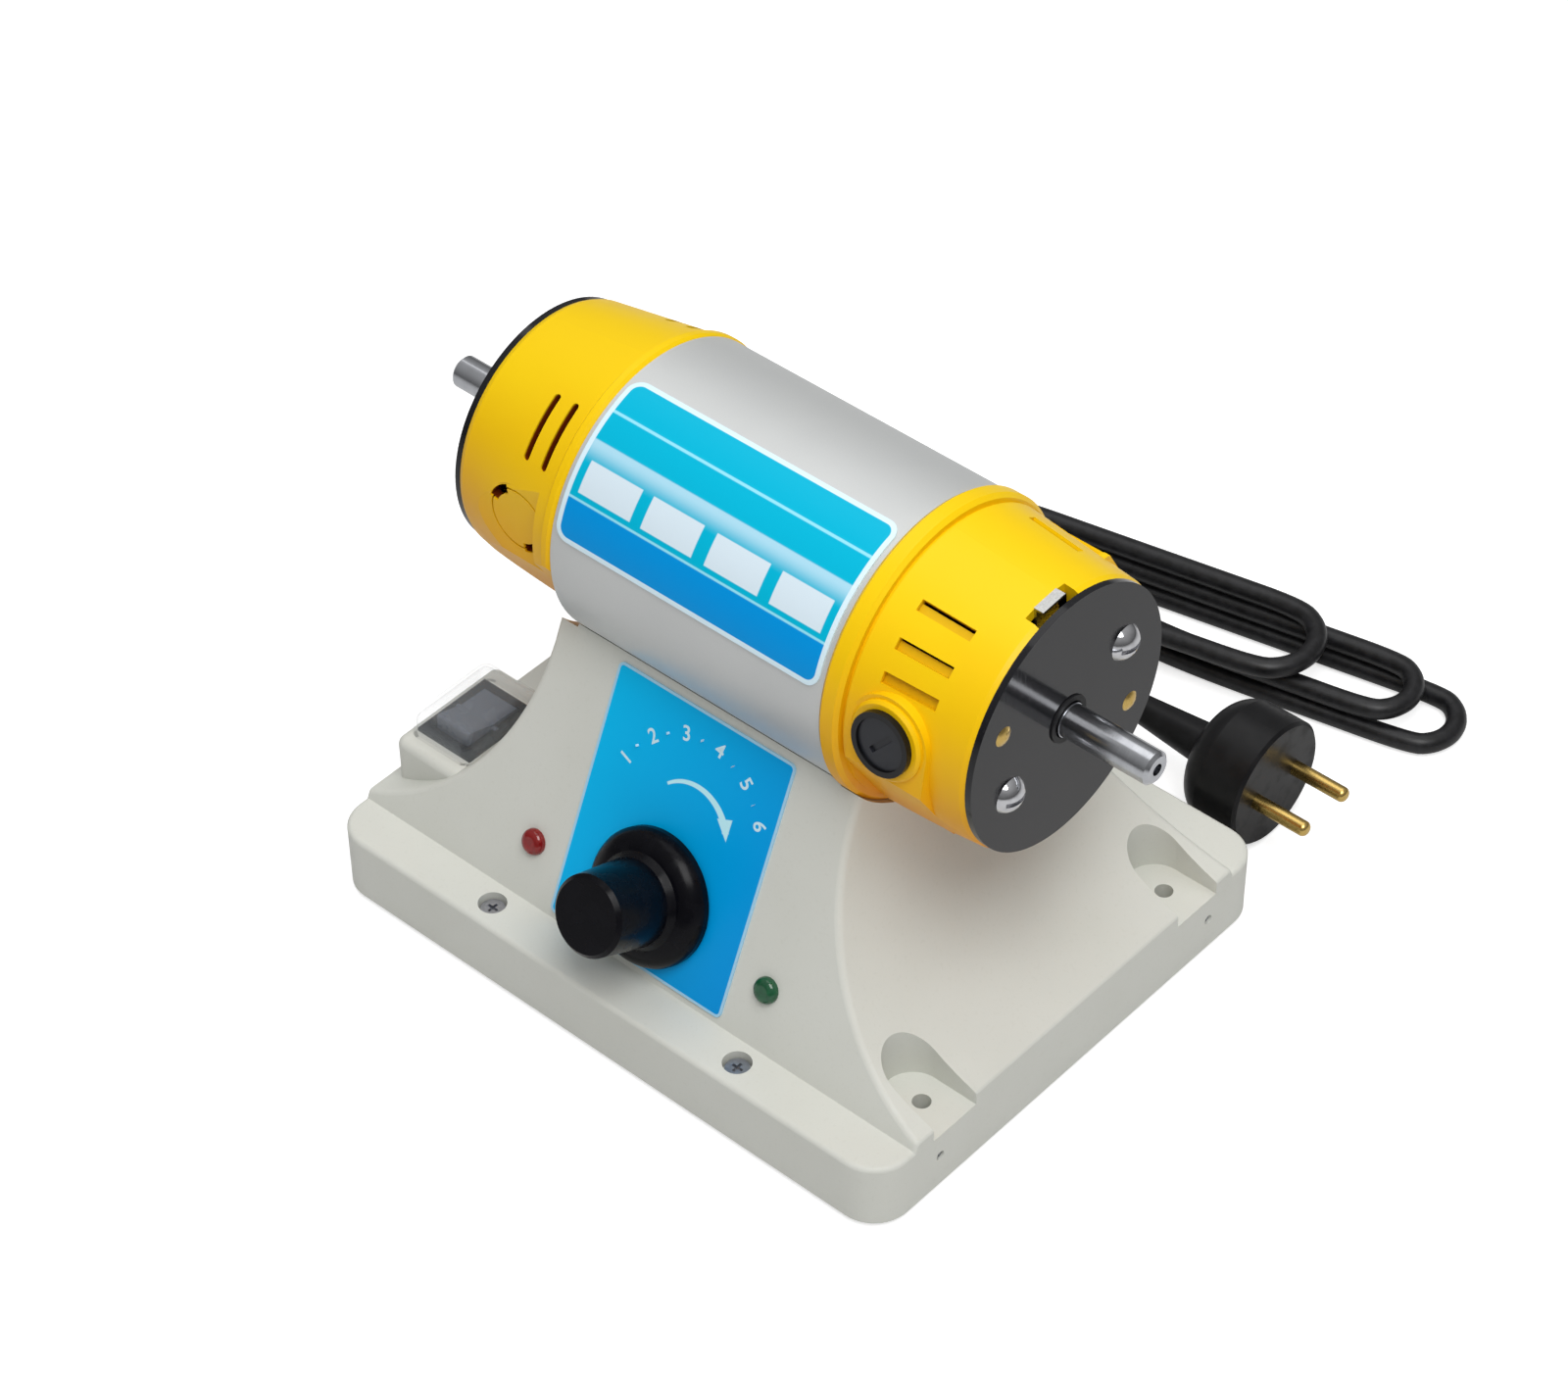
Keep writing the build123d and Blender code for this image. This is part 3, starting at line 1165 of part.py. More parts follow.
def rocker_pivot():
    return Pos(SWITCH_X, SWITCH_Y, BOX_TOP + 1.0)


def rocker_switch_body():
    """Bezel on the box and a body below it, hollow for the rocker."""
    flange = Pos(0, 0, BOX_TOP) * Box(*BEZEL_SIZE, BEZEL_HEIGHT, align=UP)
    flange = chamfer(flange.faces().sort_by(Axis.Z)[-1].edges(), 0.8)
    body = Pos(0, 0, BOX_TOP) * Box(*SWITCH_BODY_SIZE, SWITCH_BODY_DEPTH, align=DOWN)
    room = (ROCKER_SIZE[0] + 2 * ROCKER_GAP, ROCKER_SIZE[1] + 3 * ROCKER_GAP)
    cavity = Pos(0, 0, BOX_TOP - 10.0) * Box(*room, 20.0, align=UP)
    pins = Pos(0, 0, BOX_TOP + 1.0) * Rot(0, 90, 0) * Cylinder(ROCKER_PIN_R + RUNNING_GAP, room[0] + 3.0)
    switch = flange + body - cavity - pins
    for y in (-6.0, 0.0, 6.0):
        switch = switch + Pos(0, y, BOX_TOP - SWITCH_BODY_DEPTH) * Box(4.8, 0.8, 8.0, align=DOWN)
    return Pos(SWITCH_X, SWITCH_Y, 0) * switch


def switch_rocker():
    """Rocker on two pins, stored with its far end pressed down."""
    half = ROCKER_SIZE[1] / 2
    outline = [(-half, 3.2), (0, 1.8), (half, 3.2), (half - 0.6, -2.6), (0, -6.5), (0.6 - half, -2.6)]
    side = Plane.YZ * make_face(Polyline(*outline, close=True))
    rocker = extrude(side, amount=ROCKER_SIZE[0] / 2, both=True)
    top_edges = rocker.edges().filter_by(Axis.X).sort_by(Axis.Z)[-2:]
    rocker = fillet(top_edges, 0.8)
    pins = Rot(0, 90, 0) * Cylinder(ROCKER_PIN_R, ROCKER_SIZE[0] + 2 * ROCKER_GAP + 2.4)
    return rocker_pivot() * Rot(-ROCKER_TILT, 0, 0) * (rocker + pins)


def cover_form(inset, height):
    """Rounded block of the cover's outside, or its inside when inset."""
    block = Box(COVER_SIZE[0] - 2 * inset, COVER_SIZE[1] - 2 * inset, height - inset, align=UP)
    edges = block.edges().filter_by(Axis.Z) + block.faces().sort_by(Axis.Z)[-1].edges()
    return fillet(edges, COVER_ROUND - inset)


def switch_cover():
    """Clear splash cover over the rocker."""
    shell = cover_form(0, COVER_HEIGHT) - cover_form(COVER_WALL, COVER_HEIGHT)
    return Pos(SWITCH_X, SWITCH_Y, BOX_TOP) * shell


# Control board


def board_points():
    """The four posts of the board."""
    length, width, thickness = BOARD_SIZE
    places = corners(length / 2 - STANDOFF_INSET, width / 2 - STANDOFF_INSET)
    return [(x, y + BOARD_Y) for x, y in places]


def control_board():
    board = Pos(0, BOARD_Y, BOARD_Z) * Box(*BOARD_SIZE, align=UP)
    for x, y in board_points():
        board = board - upright(x, y, 0, BOARD_SCREW_R, AXIS_Z)
    return board


def board_standoffs():
    posts = []
    for x, y in board_points():
        post = upright(x, y, PLATE_Z, STANDOFF_R, BOARD_Z - PLATE_Z)
        posts.append(post - upright(x, y, 0, BOARD_SCREW_R, AXIS_Z))
    return posts


def board_screws():
    top = BOARD_Z + BOARD_SIZE[2]
    screws = []
    for x, y in board_points():
        head = upright(x, y, top, 2 * BOARD_SCREW_R, BOARD_SCREW_HEAD)
        screws.append(head + upright(x, y, SHELL_Z, BOARD_SCREW_R, top - SHELL_Z))
    return screws


def on_board(place):
    """A place on the board's top, from its middle."""
    return Pos(place[0], BOARD_Y + place[1], BOARD_Z + BOARD_SIZE[2])


def board_components():
    """Choke, capacitors, heat sink with fins and terminal block, standing on the board."""
    ring = Cylinder(CHOKE_R, CHOKE_HEIGHT, align=UP) - Cylinder(CHOKE_HOLE_R, CHOKE_HEIGHT, align=UP)
    big_capacitor = Cylinder(BIG_CAPACITOR_R, BIG_CAPACITOR_HEIGHT, align=UP)
    small_capacitor = Cylinder(SMALL_CAPACITOR_R, SMALL_CAPACITOR_HEIGHT, align=UP)
    width, length, height = SINK_SIZE
    sink = Box(width, length, SINK_PLATE, align=UP)
    pitch = (width - FIN_THICKNESS) / (FIN_COUNT - 1)
    for index in range(FIN_COUNT):
        x = (FIN_THICKNESS - width) / 2 + pitch * index
        sink = sink + Pos(x, 0, 0) * Box(FIN_THICKNESS, length, height, align=UP)
    terminals = Box(*TERMINALS_SIZE, align=UP)
    return [
        on_board(CHOKE_PLACE) * ring,
        on_board(BIG_CAPACITOR_PLACE) * big_capacitor,
        on_board(SMALL_CAPACITOR_PLACE) * small_capacitor,
        on_board(SINK_PLACE) * sink,
        on_board(TERMINALS_PLACE) * terminals,
    ]


# Mains lead


def strain_relief():
    """Tapered rubber sleeve through the back of the base, with a flange each side of the wall."""
    root = Cylinder(RELIEF_ROOT_R, WALL + 2.0, align=UP)
    inner_flange = Cylinder(RELIEF_FLANGE_R, 2.0, align=UP)
    outer_flange = Pos(0, 0, WALL + 2.0) * Cylinder(RELIEF_FLANGE_R, 2.0, align=UP)
    taper = Pos(0, 0, WALL + 4.0) * Cone(RELIEF_ROOT_R, RELIEF_TIP_R, RELIEF_LENGTH - 2.0, align=UP)
    sleeve = root + inner_flange + outer_flange + taper
    return Pos(RELIEF_X, HALF_WIDTH - WALL - 2.0, RELIEF_Z) * Rot(-90, 0, 0) * sleeve


def hank_point(u, w, z):
    """A point of the hank, u along it and w across it."""
    lean = math.radians(HANK_LEAN)
    x = HANK_CENTRE[0] + u * math.cos(lean) - w * math.sin(lean)
    y = HANK_CENTRE[1] + u * math.sin(lean) + w * math.cos(lean)
    return Vector(x, y, z)


def half_turn(u, start_w, end_w, z, side):
    """A fold of the hank: half a circle at its right (side 1) or left (side -1) end."""
    middle = (start_w + end_w) / 2
    radius = abs(start_w - end_w) / 2
    points = (hank_point(u, start_w, z), hank_point(u + side * radius, middle, z), hank_point(u, end_w, z))
    return ThreePointArc(*points)


def climb(start_u, end_u, w, low, high):
    """A run that rises by one layer on two equal arcs, level at both ends."""
    span = abs(end_u - start_u)
    rise = high - low
    radius = (span**2 + rise**2) / (4 * rise)
    quarter_rise = radius - math.sqrt(radius**2 - (span / 4) ** 2)
    step = (end_u - start_u) / 4
    places = [
        (start_u, low),
        (start_u + step, low + quarter_rise),
        (start_u + 2 * step, low + rise / 2),
        (start_u + 3 * step, high - quarter_rise),
        (end_u, high),
    ]
    points = [hank_point(u, w, z) for u, z in places]
    return [ThreePointArc(*points[0:3]), ThreePointArc(*points[2:5])]


def run(start_u, end_u, w, z):
    return Line(hank_point(start_u, w, z), hank_point(end_u, w, z))


def hank_edges():
    """The hank's line: two full loops that climb a layer each, and a last fold that leaves it."""
    upper = HANK_FOLD_R
    lower = -HANK_FOLD_R
    edges = []
    z = CORD_Z
    start = HANK_START
    for right in HANK_RIGHTS:
        edges.append(run(start, right, upper, z))
        edges.append(half_turn(right, upper, lower, z, 1))
        climb_start = HANK_LEFT + HANK_CLIMB
        edges.append(run(right, climb_start, lower, z))
        edges += climb(climb_start, HANK_LEFT, lower, z, z + HANK_LAYER)
        z = z + HANK_LAYER
        edges.append(half_turn(HANK_LEFT, lower, upper, z, -1))
        start = HANK_LEFT
    edges.append(run(start, HANK_LAST_FOLD, upper, z))
    edges.append(half_turn(HANK_LAST_FOLD, upper, -HANK_LAST_COLUMN, z, 1))
    return edges


def tube(edges, radius):
    """A round tube along edges that follow each other smoothly."""
    path = Wire(edges)
    start = Plane(origin=path @ 0, z_dir=path % 0)
    return sweep(start * Circle(radius), path=path)


def cord_hank():
    return tube(hank_edges(), CORD_R)


def rounded_route(points):
    """Straight runs joined by arcs as large as the shorter run beside each corner allows."""
    radii = []
    for before, corner, after in zip(points, points[1:], points[2:]):
        first = Vector(*corner) - Vector(*before)
        second = Vector(*after) - Vector(*corner)
        half = math.radians(first.get_angle(second) / 2)
        radii.append(0.45 * min(first.length, second.length) / math.tan(half))
    return FilletPolyline(*points, radius=radii), radii


def plug_neck_end():
    """Where the lead leaves the plug's neck."""
    x = PLUG_FACE[0] - PLUG_BODY_LENGTH - PLUG_NECK_LENGTH
    return (x, PLUG_FACE[1], PLUG_Z)


def plug_lead_points():
    """From the plug's neck down to the bench, left behind the base and round into the hank."""
    neck_x, neck_y, neck_z = plug_neck_end()
    return [
        (neck_x, neck_y, neck_z),
        (neck_x - 14.0, neck_y, neck_z),
        (neck_x - 31.0, 112.4, 14.4),
        (neck_x - 49.0, 114.2, 5.8),
        (neck_x - 66.0, 115.8, CORD_Z),
        (-41.0, 116.2, CORD_Z),
        (-51.2, 121.6, CORD_Z),
        (-57.7, 131.3, CORD_Z),
        (-58.9, 142.8, CORD_Z),
        (-54.6, 153.6, CORD_Z),
        tuple(hank_point(HANK_START - 9.5, HANK_FOLD_R, CORD_Z)),
        tuple(hank_point(HANK_START, HANK_FOLD_R, CORD_Z)),
    ]


def power_cord_points():
    """From the strain relief over the plug's lead, and round into the hank's last fold."""
    exit_y = HALF_WIDTH + RELIEF_LENGTH
    top = CORD_Z + len(HANK_RIGHTS) * HANK_LAYER
    column = -HANK_LAST_COLUMN
    return [
        (RELIEF_X, exit_y, RELIEF_Z),
        (RELIEF_X, exit_y + 11.0, RELIEF_Z),
        (-25.1, 128.8, 13.4),
        tuple(hank_point(-73.8, column, 14.2)),
        tuple(hank_point(-53.0, column, 16.6)),
        tuple(hank_point(-33.0, column, top)),
        tuple(hank_point(HANK_LAST_FOLD, column, top)),
    ]


def free_tube(name, points):
    """The tube of a free stretch, with its radii and its volume against section times length."""
    path, radii = rounded_route(points)
    solid = tube(path.edges(), CORD_R)
    expected = math.pi * CORD_R**2 * path.length
    print(name, "length", round(path.length, 1), "radii", [round(r, 1) for r in radii])
    print(name, "volume over section times length", round(solid.volume / expected, 4))
    return solid


def power_cord():
    return free_tube("power_cord", power_cord_points())


def plug_lead():
    return free_tube("plug_lead", plug_lead_points())


def plug_body():
    """Round two-pin plug on its side, with a moulded neck."""
    face_x, face_y = PLUG_FACE
    back = -PLUG_BODY_LENGTH
    rim = Line((0, 0), (0, PLUG_R - 1.0))
    edge = Line(rim @ 1, (-1.0, PLUG_R))
    side = Line(edge @ 1, (back + PLUG_SHOULDER, PLUG_R))
    shoulder = ThreePointArc(
        side @ 1,
        (back + PLUG_SHOULDER * 0.35, PLUG_R - PLUG_SHOULDER * 0.35),
        (back, PLUG_NECK_R + 2.0),
    )
    step = Line(shoulder @ 1, (back, PLUG_NECK_R))
    neck = Line(step @ 1, (back - PLUG_NECK_LENGTH, PLUG_NECK_TIP_R))
    end = Line(neck @ 1, (back - PLUG_NECK_LENGTH, 0))
    axis = Line(end @ 1, (0, 0))
    outline = Plane.XZ * make_face([rim, edge, side, shoulder, step, neck, end, axis])
    body = revolve(outline, Axis.X)
    for side_y in (-PIN_PITCH / 2, PIN_PITCH / 2):
        body = body - Pos(-8.0, side_y, 0) * Rot(0, 90, 0) * Cylinder(PIN_R, 20.0, align=UP)
    return Pos(face_x, face_y, PLUG_Z) * body


def plug_pins():
    pins = []
    for side_y in (-PIN_PITCH / 2, PIN_PITCH / 2):
        pin = Cylinder(PIN_R, PIN_LENGTH + 8.0, align=UP)
        pin = fillet(pin.faces().sort_by(Axis.Z)[-1].edges(), PIN_R - 0.6)
        pins.append(Pos(PLUG_FACE[0] - 8.0, PLUG_FACE[1] + side_y, PLUG_Z) * Rot(0, 90, 0) * pin)
    return pins


def self_gap(edges, radius):
    """The least gap between parts of one tube that lie more than a fold apart along it."""
    samples = []
    travelled = 0.0
    for edge in edges:
        count = max(2, int(edge.length / 3))
        for index in range(count):
            samples.append((travelled + edge.length * index / count, edge @ (index / count)))
        travelled += edge.length
    least = travelled
    for index, (place, point) in enumerate(samples):
        for other_place, other in samples[index + 1 :]:
            if other_place - place > 3 * math.pi * radius:
                least = min(least, (point - other).length - 2 * radius)
    return least


NODES = {
    "base_shell": base_shell,
    "bottom_plate": bottom_plate,
    "rubber_feet": rubber_feet,
    "case_screws": case_screws,
    "side_screws": side_screws,
    "motor_bolts": motor_bolts,
    "motor_housing": motor_housing,
    "left_end_cap": left_end_cap,
    "right_end_cap": right_end_cap,
    "cap_clip": cap_clip,
    "blanking_plugs": blanking_plugs,
    "left_end_plate": lambda: at_fan_end(end_plate(FAN_PLATE_R)),
    "right_end_plate": lambda: end_plate(PLATE_R),
    "end_plate_screws": end_plate_screws,
    "end_plate_rivets": end_plate_rivets,
    "shaft_seals": shaft_seals,
    "bearing_outer_rings": lambda: both_ends(bearing_outer_ring()),
    "bearing_inner_rings": lambda: both_ends(bearing_inner_ring()),
    "left_bearing_balls": lambda: [at_fan_end(ball) for ball in bearing_balls()],
    "right_bearing_balls": bearing_balls,
    "stator_core": stator_core,
    "field_coils": field_coils,
    "brush_holders": brush_holders,
    "carbon_brushes": carbon_brushes,
    "brush_springs": brush_springs,
    "brush_caps": brush_caps,
    "spindle_shaft": spindle_shaft,
    "armature_core": armature_core,
    "armature_windings": armature_windings,
    "commutator": commutator,
    "cooling_fan": cooling_fan,
    "panel_label": panel_label,
    "motor_label": motor_label,
    "red_led": lambda: lamp(-LED_X),
    "green_led": lambda: lamp(LED_X),
    "speed_knob": speed_knob,
    "speed_control_spindle": speed_control_spindle,
    "speed_control_body": speed_control_body,
    "speed_control_nut": speed_control_nut,
    "rocker_switch_body": rocker_switch_body,
    "switch_rocker": switch_rocker,
    "switch_cover": switch_cover,
    "control_board": control_board,
    "board_standoffs": board_standoffs,
    "board_screws": board_screws,
    "board_components": board_components,
    "strain_relief": strain_relief,
    "power_cord": power_cord,
    "cord_hank": cord_hank,
    "plug_lead": plug_lead,
    "plug_body": plug_body,
    "plug_pins": plug_pins,
}

for name, make in NODES.items():
    made = make()
    pieces = made if isinstance(made, list) else made.solids()
    shape = pieces[0] if len(pieces) == 1 else Compound(children=list(pieces))
    export_step(shape, os.path.join("parts", name + ".step"))

hank = hank_edges()
print("cord_hank length", round(sum(edge.length for edge in hank), 1))
print("cord_hank least gap to itself", round(self_gap(hank, CORD_R), 2))
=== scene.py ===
import bmesh
import bpy
import math
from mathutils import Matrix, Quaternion, Vector


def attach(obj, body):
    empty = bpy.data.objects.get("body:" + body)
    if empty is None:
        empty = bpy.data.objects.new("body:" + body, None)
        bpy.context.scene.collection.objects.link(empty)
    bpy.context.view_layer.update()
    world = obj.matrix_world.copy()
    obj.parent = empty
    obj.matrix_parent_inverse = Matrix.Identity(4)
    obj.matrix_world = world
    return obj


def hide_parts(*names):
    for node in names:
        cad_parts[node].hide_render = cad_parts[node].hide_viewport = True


# Two-ended bench polishing lathe on a plain white floor. Blender's lengths are in metres, and MM takes a length
# in millimetres to metres. +X runs along the shaft to the brush end, and -Y is the side with the speed knob.
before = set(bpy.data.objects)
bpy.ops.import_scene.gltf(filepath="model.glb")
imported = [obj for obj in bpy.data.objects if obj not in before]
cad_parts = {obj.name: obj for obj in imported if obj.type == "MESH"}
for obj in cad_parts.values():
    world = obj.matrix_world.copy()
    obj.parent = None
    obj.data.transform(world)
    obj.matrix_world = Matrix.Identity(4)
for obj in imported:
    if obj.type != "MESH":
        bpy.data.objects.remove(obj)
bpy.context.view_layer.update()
MM = 0.001

# Sizes of the object that the finishes and small pieces follow, as in the part's source, in millimetres
AXIS_Z = 130.0
HOUSING_R = 45.0
LEDGE_Z = 24.0
PANEL_FOOT_Y = -71.0
PANEL_LEAN = math.radians(24.5)
LABEL_THICKNESS = 0.5
PANEL_X = 1.2
PANEL_LABEL = (65.5, 80.92)
PANEL_LABEL_START = 2.0
PANEL_LABEL_CORNER = 2.0
MOTOR_LABEL_LENGTH = 95.0
MOTOR_LABEL_ANGLES = (101.8, 166.4)
MOTOR_LABEL_CORNER = 4.5
RIGHT_CAP_X = 56.7
RIGHT_CAP_R = 44.0
RIGHT_CAP_TAPER = 3.4 / 36.8
RIGHT_VENTS_X = (64.0, 82.5)
LEFT_CAP_X = 52.8
LEFT_CAP_R = 44.6
LEFT_CAP_TAPER = 5.8 / 36.1
LEFT_VENTS_X = (-67.2, -56.5)
SIDE_FLAT = 40.0
BLANK_X = -66.0
BLANK_Z = 133.6
BLANK_NOTCH_R = 11.2


def linear(red, green, blue):
    """A colour given in the 0 to 255 steps of a screen, as the linear values that shaders take."""
    steps = [value / 255 for value in (red, green, blue)]
    return tuple(s / 12.92 if s <= 0.04045 else ((s + 0.055) / 1.055) ** 2.4 for s in steps) + (1.0,)


# Camera, floor and light

CAMERA_TARGET = Vector((-0.85, -0.79, 13.26)) * MM
CAMERA_DISTANCE = 1.2905
KEY_WATTS = 10.0
TOP_WATTS = 3.8
LAMP_TARGET = Vector((0, 0, 0.08))
SKY_LOW = 0.13
SKY_HIGH = 0.56
FLOOR_HALF = 6.0
FLOOR_DROP = 0.0002
FLOOR_GLOW = 0.62


def place_camera():
    """Looks down at 45 degrees from the front and the brush end, as the photograph does."""
    azimuth = math.radians(41.94)
    elevation = math.radians(44.95)
    roll = math.radians(-0.65)
    back = Vector(
        (
            math.sin(azimuth) * math.cos(elevation),
            -math.cos(azimuth) * math.cos(elevation),
            math.sin(elevation),
        )
    )
    data = bpy.data.cameras.new("photo_camera")
    camera = bpy.data.objects.new("photo_camera", data)
    bpy.context.collection.objects.link(camera)
    camera.location = CAMERA_TARGET + back * CAMERA_DISTANCE
    camera.rotation_mode = "QUATERNION"
    camera.rotation_quaternion = (-back).to_track_quat("-Z", "Y") @ Quaternion((0, 0, 1), roll)
    data.sensor_width = 36.0
    data.lens = 101.0
    data.shift_x = -0.005
    data.shift_y = 0.11
    bpy.context.scene.camera = camera


def area_lamp(name, position, size, watts):
    """A square soft box that faces the object's middle."""
    data = bpy.data.lights.new(name, "AREA")
    data.shape = "SQUARE"
    data.size = size
    data.energy = watts
    lamp = bpy.data.objects.new(name, data)
    bpy.context.collection.objects.link(lamp)
    lamp.location = position
    aim = LAMP_TARGET - Vector(position)
    lamp.rotation_mode = "QUATERNION"
    lamp.rotation_quaternion = aim.to_track_quat("-Z", "Y")


def light_scene():
    """A soft key from the front and the brush end, a top lamp behind, and a surround that is brighter overhead.

    The camera sees the surround as white, also through the clear cover.
    """
    area_lamp("key_lamp", (0.50, -0.34, 1.20), 0.7, KEY_WATTS)
    area_lamp("top_lamp", (-0.25, 0.30, 1.30), 1.0, TOP_WATTS)
    world = bpy.data.worlds.new("studio")
    bpy.context.scene.world = world
    world.use_nodes = True
    tree = world.node_tree
    background = tree.nodes["Background"]
    background.inputs["Color"].default_value = (1.0, 1.0, 1.0, 1.0)
    rays = tree.nodes.new("ShaderNodeLightPath")
    clear = tree.nodes.new("ShaderNodeMath")
    clear.operation = "MAXIMUM"
    tree.links.new(rays.outputs["Is Camera Ray"], clear.inputs[0])
    tree.links.new(rays.outputs["Is Transmission Ray"], clear.inputs[1])
    direction = tree.nodes.new("ShaderNodeTexCoord")
    split = tree.nodes.new("ShaderNodeSeparateXYZ")
    tree.links.new(direction.outputs["Generated"], split.inputs[0])
    sky = tree.nodes.new("ShaderNodeMapRange")
    sky.inputs["To Min"].default_value = SKY_LOW
    sky.inputs["To Max"].default_value = SKY_HIGH
    tree.links.new(split.outputs[2], sky.inputs["Value"])
    level = tree.nodes.new("ShaderNodeMix")
    level.inputs[3].default_value = 1.0
    tree.links.new(clear.outputs[0], level.inputs[0])
    tree.links.new(sky.outputs[0], level.inputs[2])
    tree.links.new(level.outputs[0], background.inputs["Strength"])


def lay_floor():
    """A wide pale floor that keeps the object's shadow, and shows white to the camera."""
    mesh = bpy.data.meshes.new("floor")
    rim = [(FLOOR_HALF * x, FLOOR_HALF * y, 0.0) for x, y in ((-1, -1), (1, -1), (1, 1), (-1, 1))]
    mesh.from_pydata(rim, [], [(0, 1, 2, 3)])
    floor = bpy.data.objects.new("floor", mesh)
    bpy.context.collection.objects.link(floor)
    floor.location.z = -FLOOR_DROP
    white = Finish("floor_white", (226, 226, 226), roughness=0.9)
    white.constant("Specular IOR Level", 0.0)
    white.constant("Emission Strength", 1.0)
    rays = white.add("ShaderNodeLightPath")
    seen = Wire(white, rays.outputs["Is Camera Ray"]).by("MAXIMUM", rays.outputs["Is Transmission Ray"])
    glow = white.mix(seen, (0.0, 0.0, 0.0, 1.0), (FLOOR_GLOW, FLOOR_GLOW, FLOOR_GLOW, 1.0))
    white.feed(white.shader.inputs["Emission Color"], glow)
    mesh.materials.append(white.material)


# Materials


class Wire:
    """A number on its way through a material. An expression on it adds the Math nodes."""

    def __init__(self, finish, socket):
        self.finish = finish
        self.socket = socket

    def result(self, operation, values):
        node = self.finish.add("ShaderNodeMath", {"operation": operation}, values)
        return Wire(self.finish, node.outputs[0])

    def by(self, operation, *others):
        """This number first in the operation, then the others."""
        return self.result(operation, dict(enumerate((self, *others))))

    def __add__(self, other):
        return self.by("ADD", other)

    __radd__ = __add__

    def __sub__(self, other):
        return self.by("SUBTRACT", other)

    def __rsub__(self, other):
        return self.result("SUBTRACT", {0: other, 1: self})

    def __mul__(self, other):
        return self.by("MULTIPLY", other)

    __rmul__ = __mul__

    def __truediv__(self, other):
        return self.by("DIVIDE", other)

    def __abs__(self):
        return self.by("ABSOLUTE")

    def below(self, edge, blur):
        """1 where the number is under the edge, 0 past it, over a short blur."""
        settings = {"interpolation_type": "SMOOTHSTEP"}
        values = {"Value": self, "From Min": edge - blur, "From Max": edge + blur}
        values.update({"To Min": 1.0, "To Max": 0.0})
        return Wire(self.finish, self.finish.add("ShaderNodeMapRange", settings, values).outputs[0])

    def above(self, edge, blur):
        return 1 - self.below(edge, blur)

    def within(self, low, high, blur):
        return self.above(low, blur) * self.below(high, blur)

    def clamped(self):
        """The number, kept between 0 and 1."""
        return self.by("MAXIMUM", 0.0).by("MINIMUM", 1.0)


def distance(across, along):
    return (across * across + along * along).by("SQRT")


class Finish:
    """A principled material, with short ways to build its pattern."""

    def __init__(self, name, colour, roughness=0.5, metallic=0.0, coat=0.0, specular=0.5):
        self.material = bpy.data.materials.new(name)
        self.material.use_nodes = True
        self.tree = self.material.node_tree
        self.shader = self.tree.nodes["Principled BSDF"]
        self.shader.inputs["Base Color"].default_value = linear(*colour)
        self.shader.inputs["Roughness"].default_value = roughness
        self.shader.inputs["Metallic"].default_value = metallic
        self.shader.inputs["Coat Weight"].default_value = coat
        self.shader.inputs["Specular IOR Level"].default_value = specular
        self.places = {}

    def add(self, kind, settings=None, values=None):
        node = self.tree.nodes.new(kind)
        for key, value in (settings or {}).items():
            setattr(node, key, value)
        for key, value in (values or {}).items():
            self.feed(node.inputs[key], value)
        return node

    def feed(self, socket, value):
        if isinstance(value, Wire):
            self.tree.links.new(value.socket, socket)
        elif isinstance(value, bpy.types.NodeSocket):
            self.tree.links.new(value, socket)
        else:
            socket.default_value = value

    def constant(self, name, value):
        """A number or colour that is the same all over the surface."""
        self.shader.inputs[name].default_value = value

    def place(self):
        """The point's own place on the object."""
        if "place" not in self.places:
            self.places["place"] = self.add("ShaderNodeTexCoord").outputs["Object"]
        return self.places["place"]

    def xyz(self):
        """The place as three numbers, in millimetres."""
        if "xyz" not in self.places:
            split = self.add("ShaderNodeSeparateXYZ", None, {0: self.place()})
            self.places["xyz"] = [Wire(self, split.outputs[axis]) / MM for axis in range(3)]
        return self.places["xyz"]

    def noise(self, size_mm, detail=2.0, stretch=(1.0, 1.0, 1.0)):
        """Noise from 0 to 1 with blots of about that size, longer along an axis that is stretched."""
        scale = tuple(1 / (size_mm * MM * s) for s in stretch)
        mapping = self.add("ShaderNodeMapping", None, {"Vector": self.place(), "Scale": scale})
        values = {"Vector": mapping.outputs[0], "Scale": 1.0, "Detail": detail}
        return Wire(self, self.add("ShaderNodeTexNoise", None, values).outputs[0])

    def mix(self, mask, first, second):
        """The first colour where the mask is 0 and the second where it is 1."""
        node = self.add("ShaderNodeMix", {"data_type": "RGBA"}, {0: mask, 6: first, 7: second})
        return node.outputs[2]

    def colour(self, value):
        self.feed(self.shader.inputs["Base Color"], value)

    def rough(self, value):
        self.feed(self.shader.inputs["Roughness"], value)

    def bump(self, height, depth_mm):
        node = self.add("ShaderNodeBump", None, {"Height": height, "Distance": depth_mm * MM, "Strength": 1.0})
        self.feed(self.shader.inputs["Normal"], node.outputs[0])


def moulded_plastic(name, colour, darker, roughness, specular=0.35):
    """Moulded plastic: faint clouds in the colour, a fine spark-eroded grain and uneven gloss."""
    finish = Finish(name, colour, roughness, specular=specular)
    clouds = finish.noise(28.0, 3.0)
    specks = finish.noise(1.1, 2.0).above(0.64, 0.05)
    tone = (clouds.by("POWER", 1.6) * 0.8 + specks * 0.25).by("MINIMUM", 1.0)
    finish.colour(finish.mix(tone, linear(*colour), linear(*darker)))
    finish.rough(roughness - 0.06 + 0.12 * finish.noise(9.0, 2.0))
    finish.bump(finish.noise(0.35, 1.0), 0.02)
    return finish


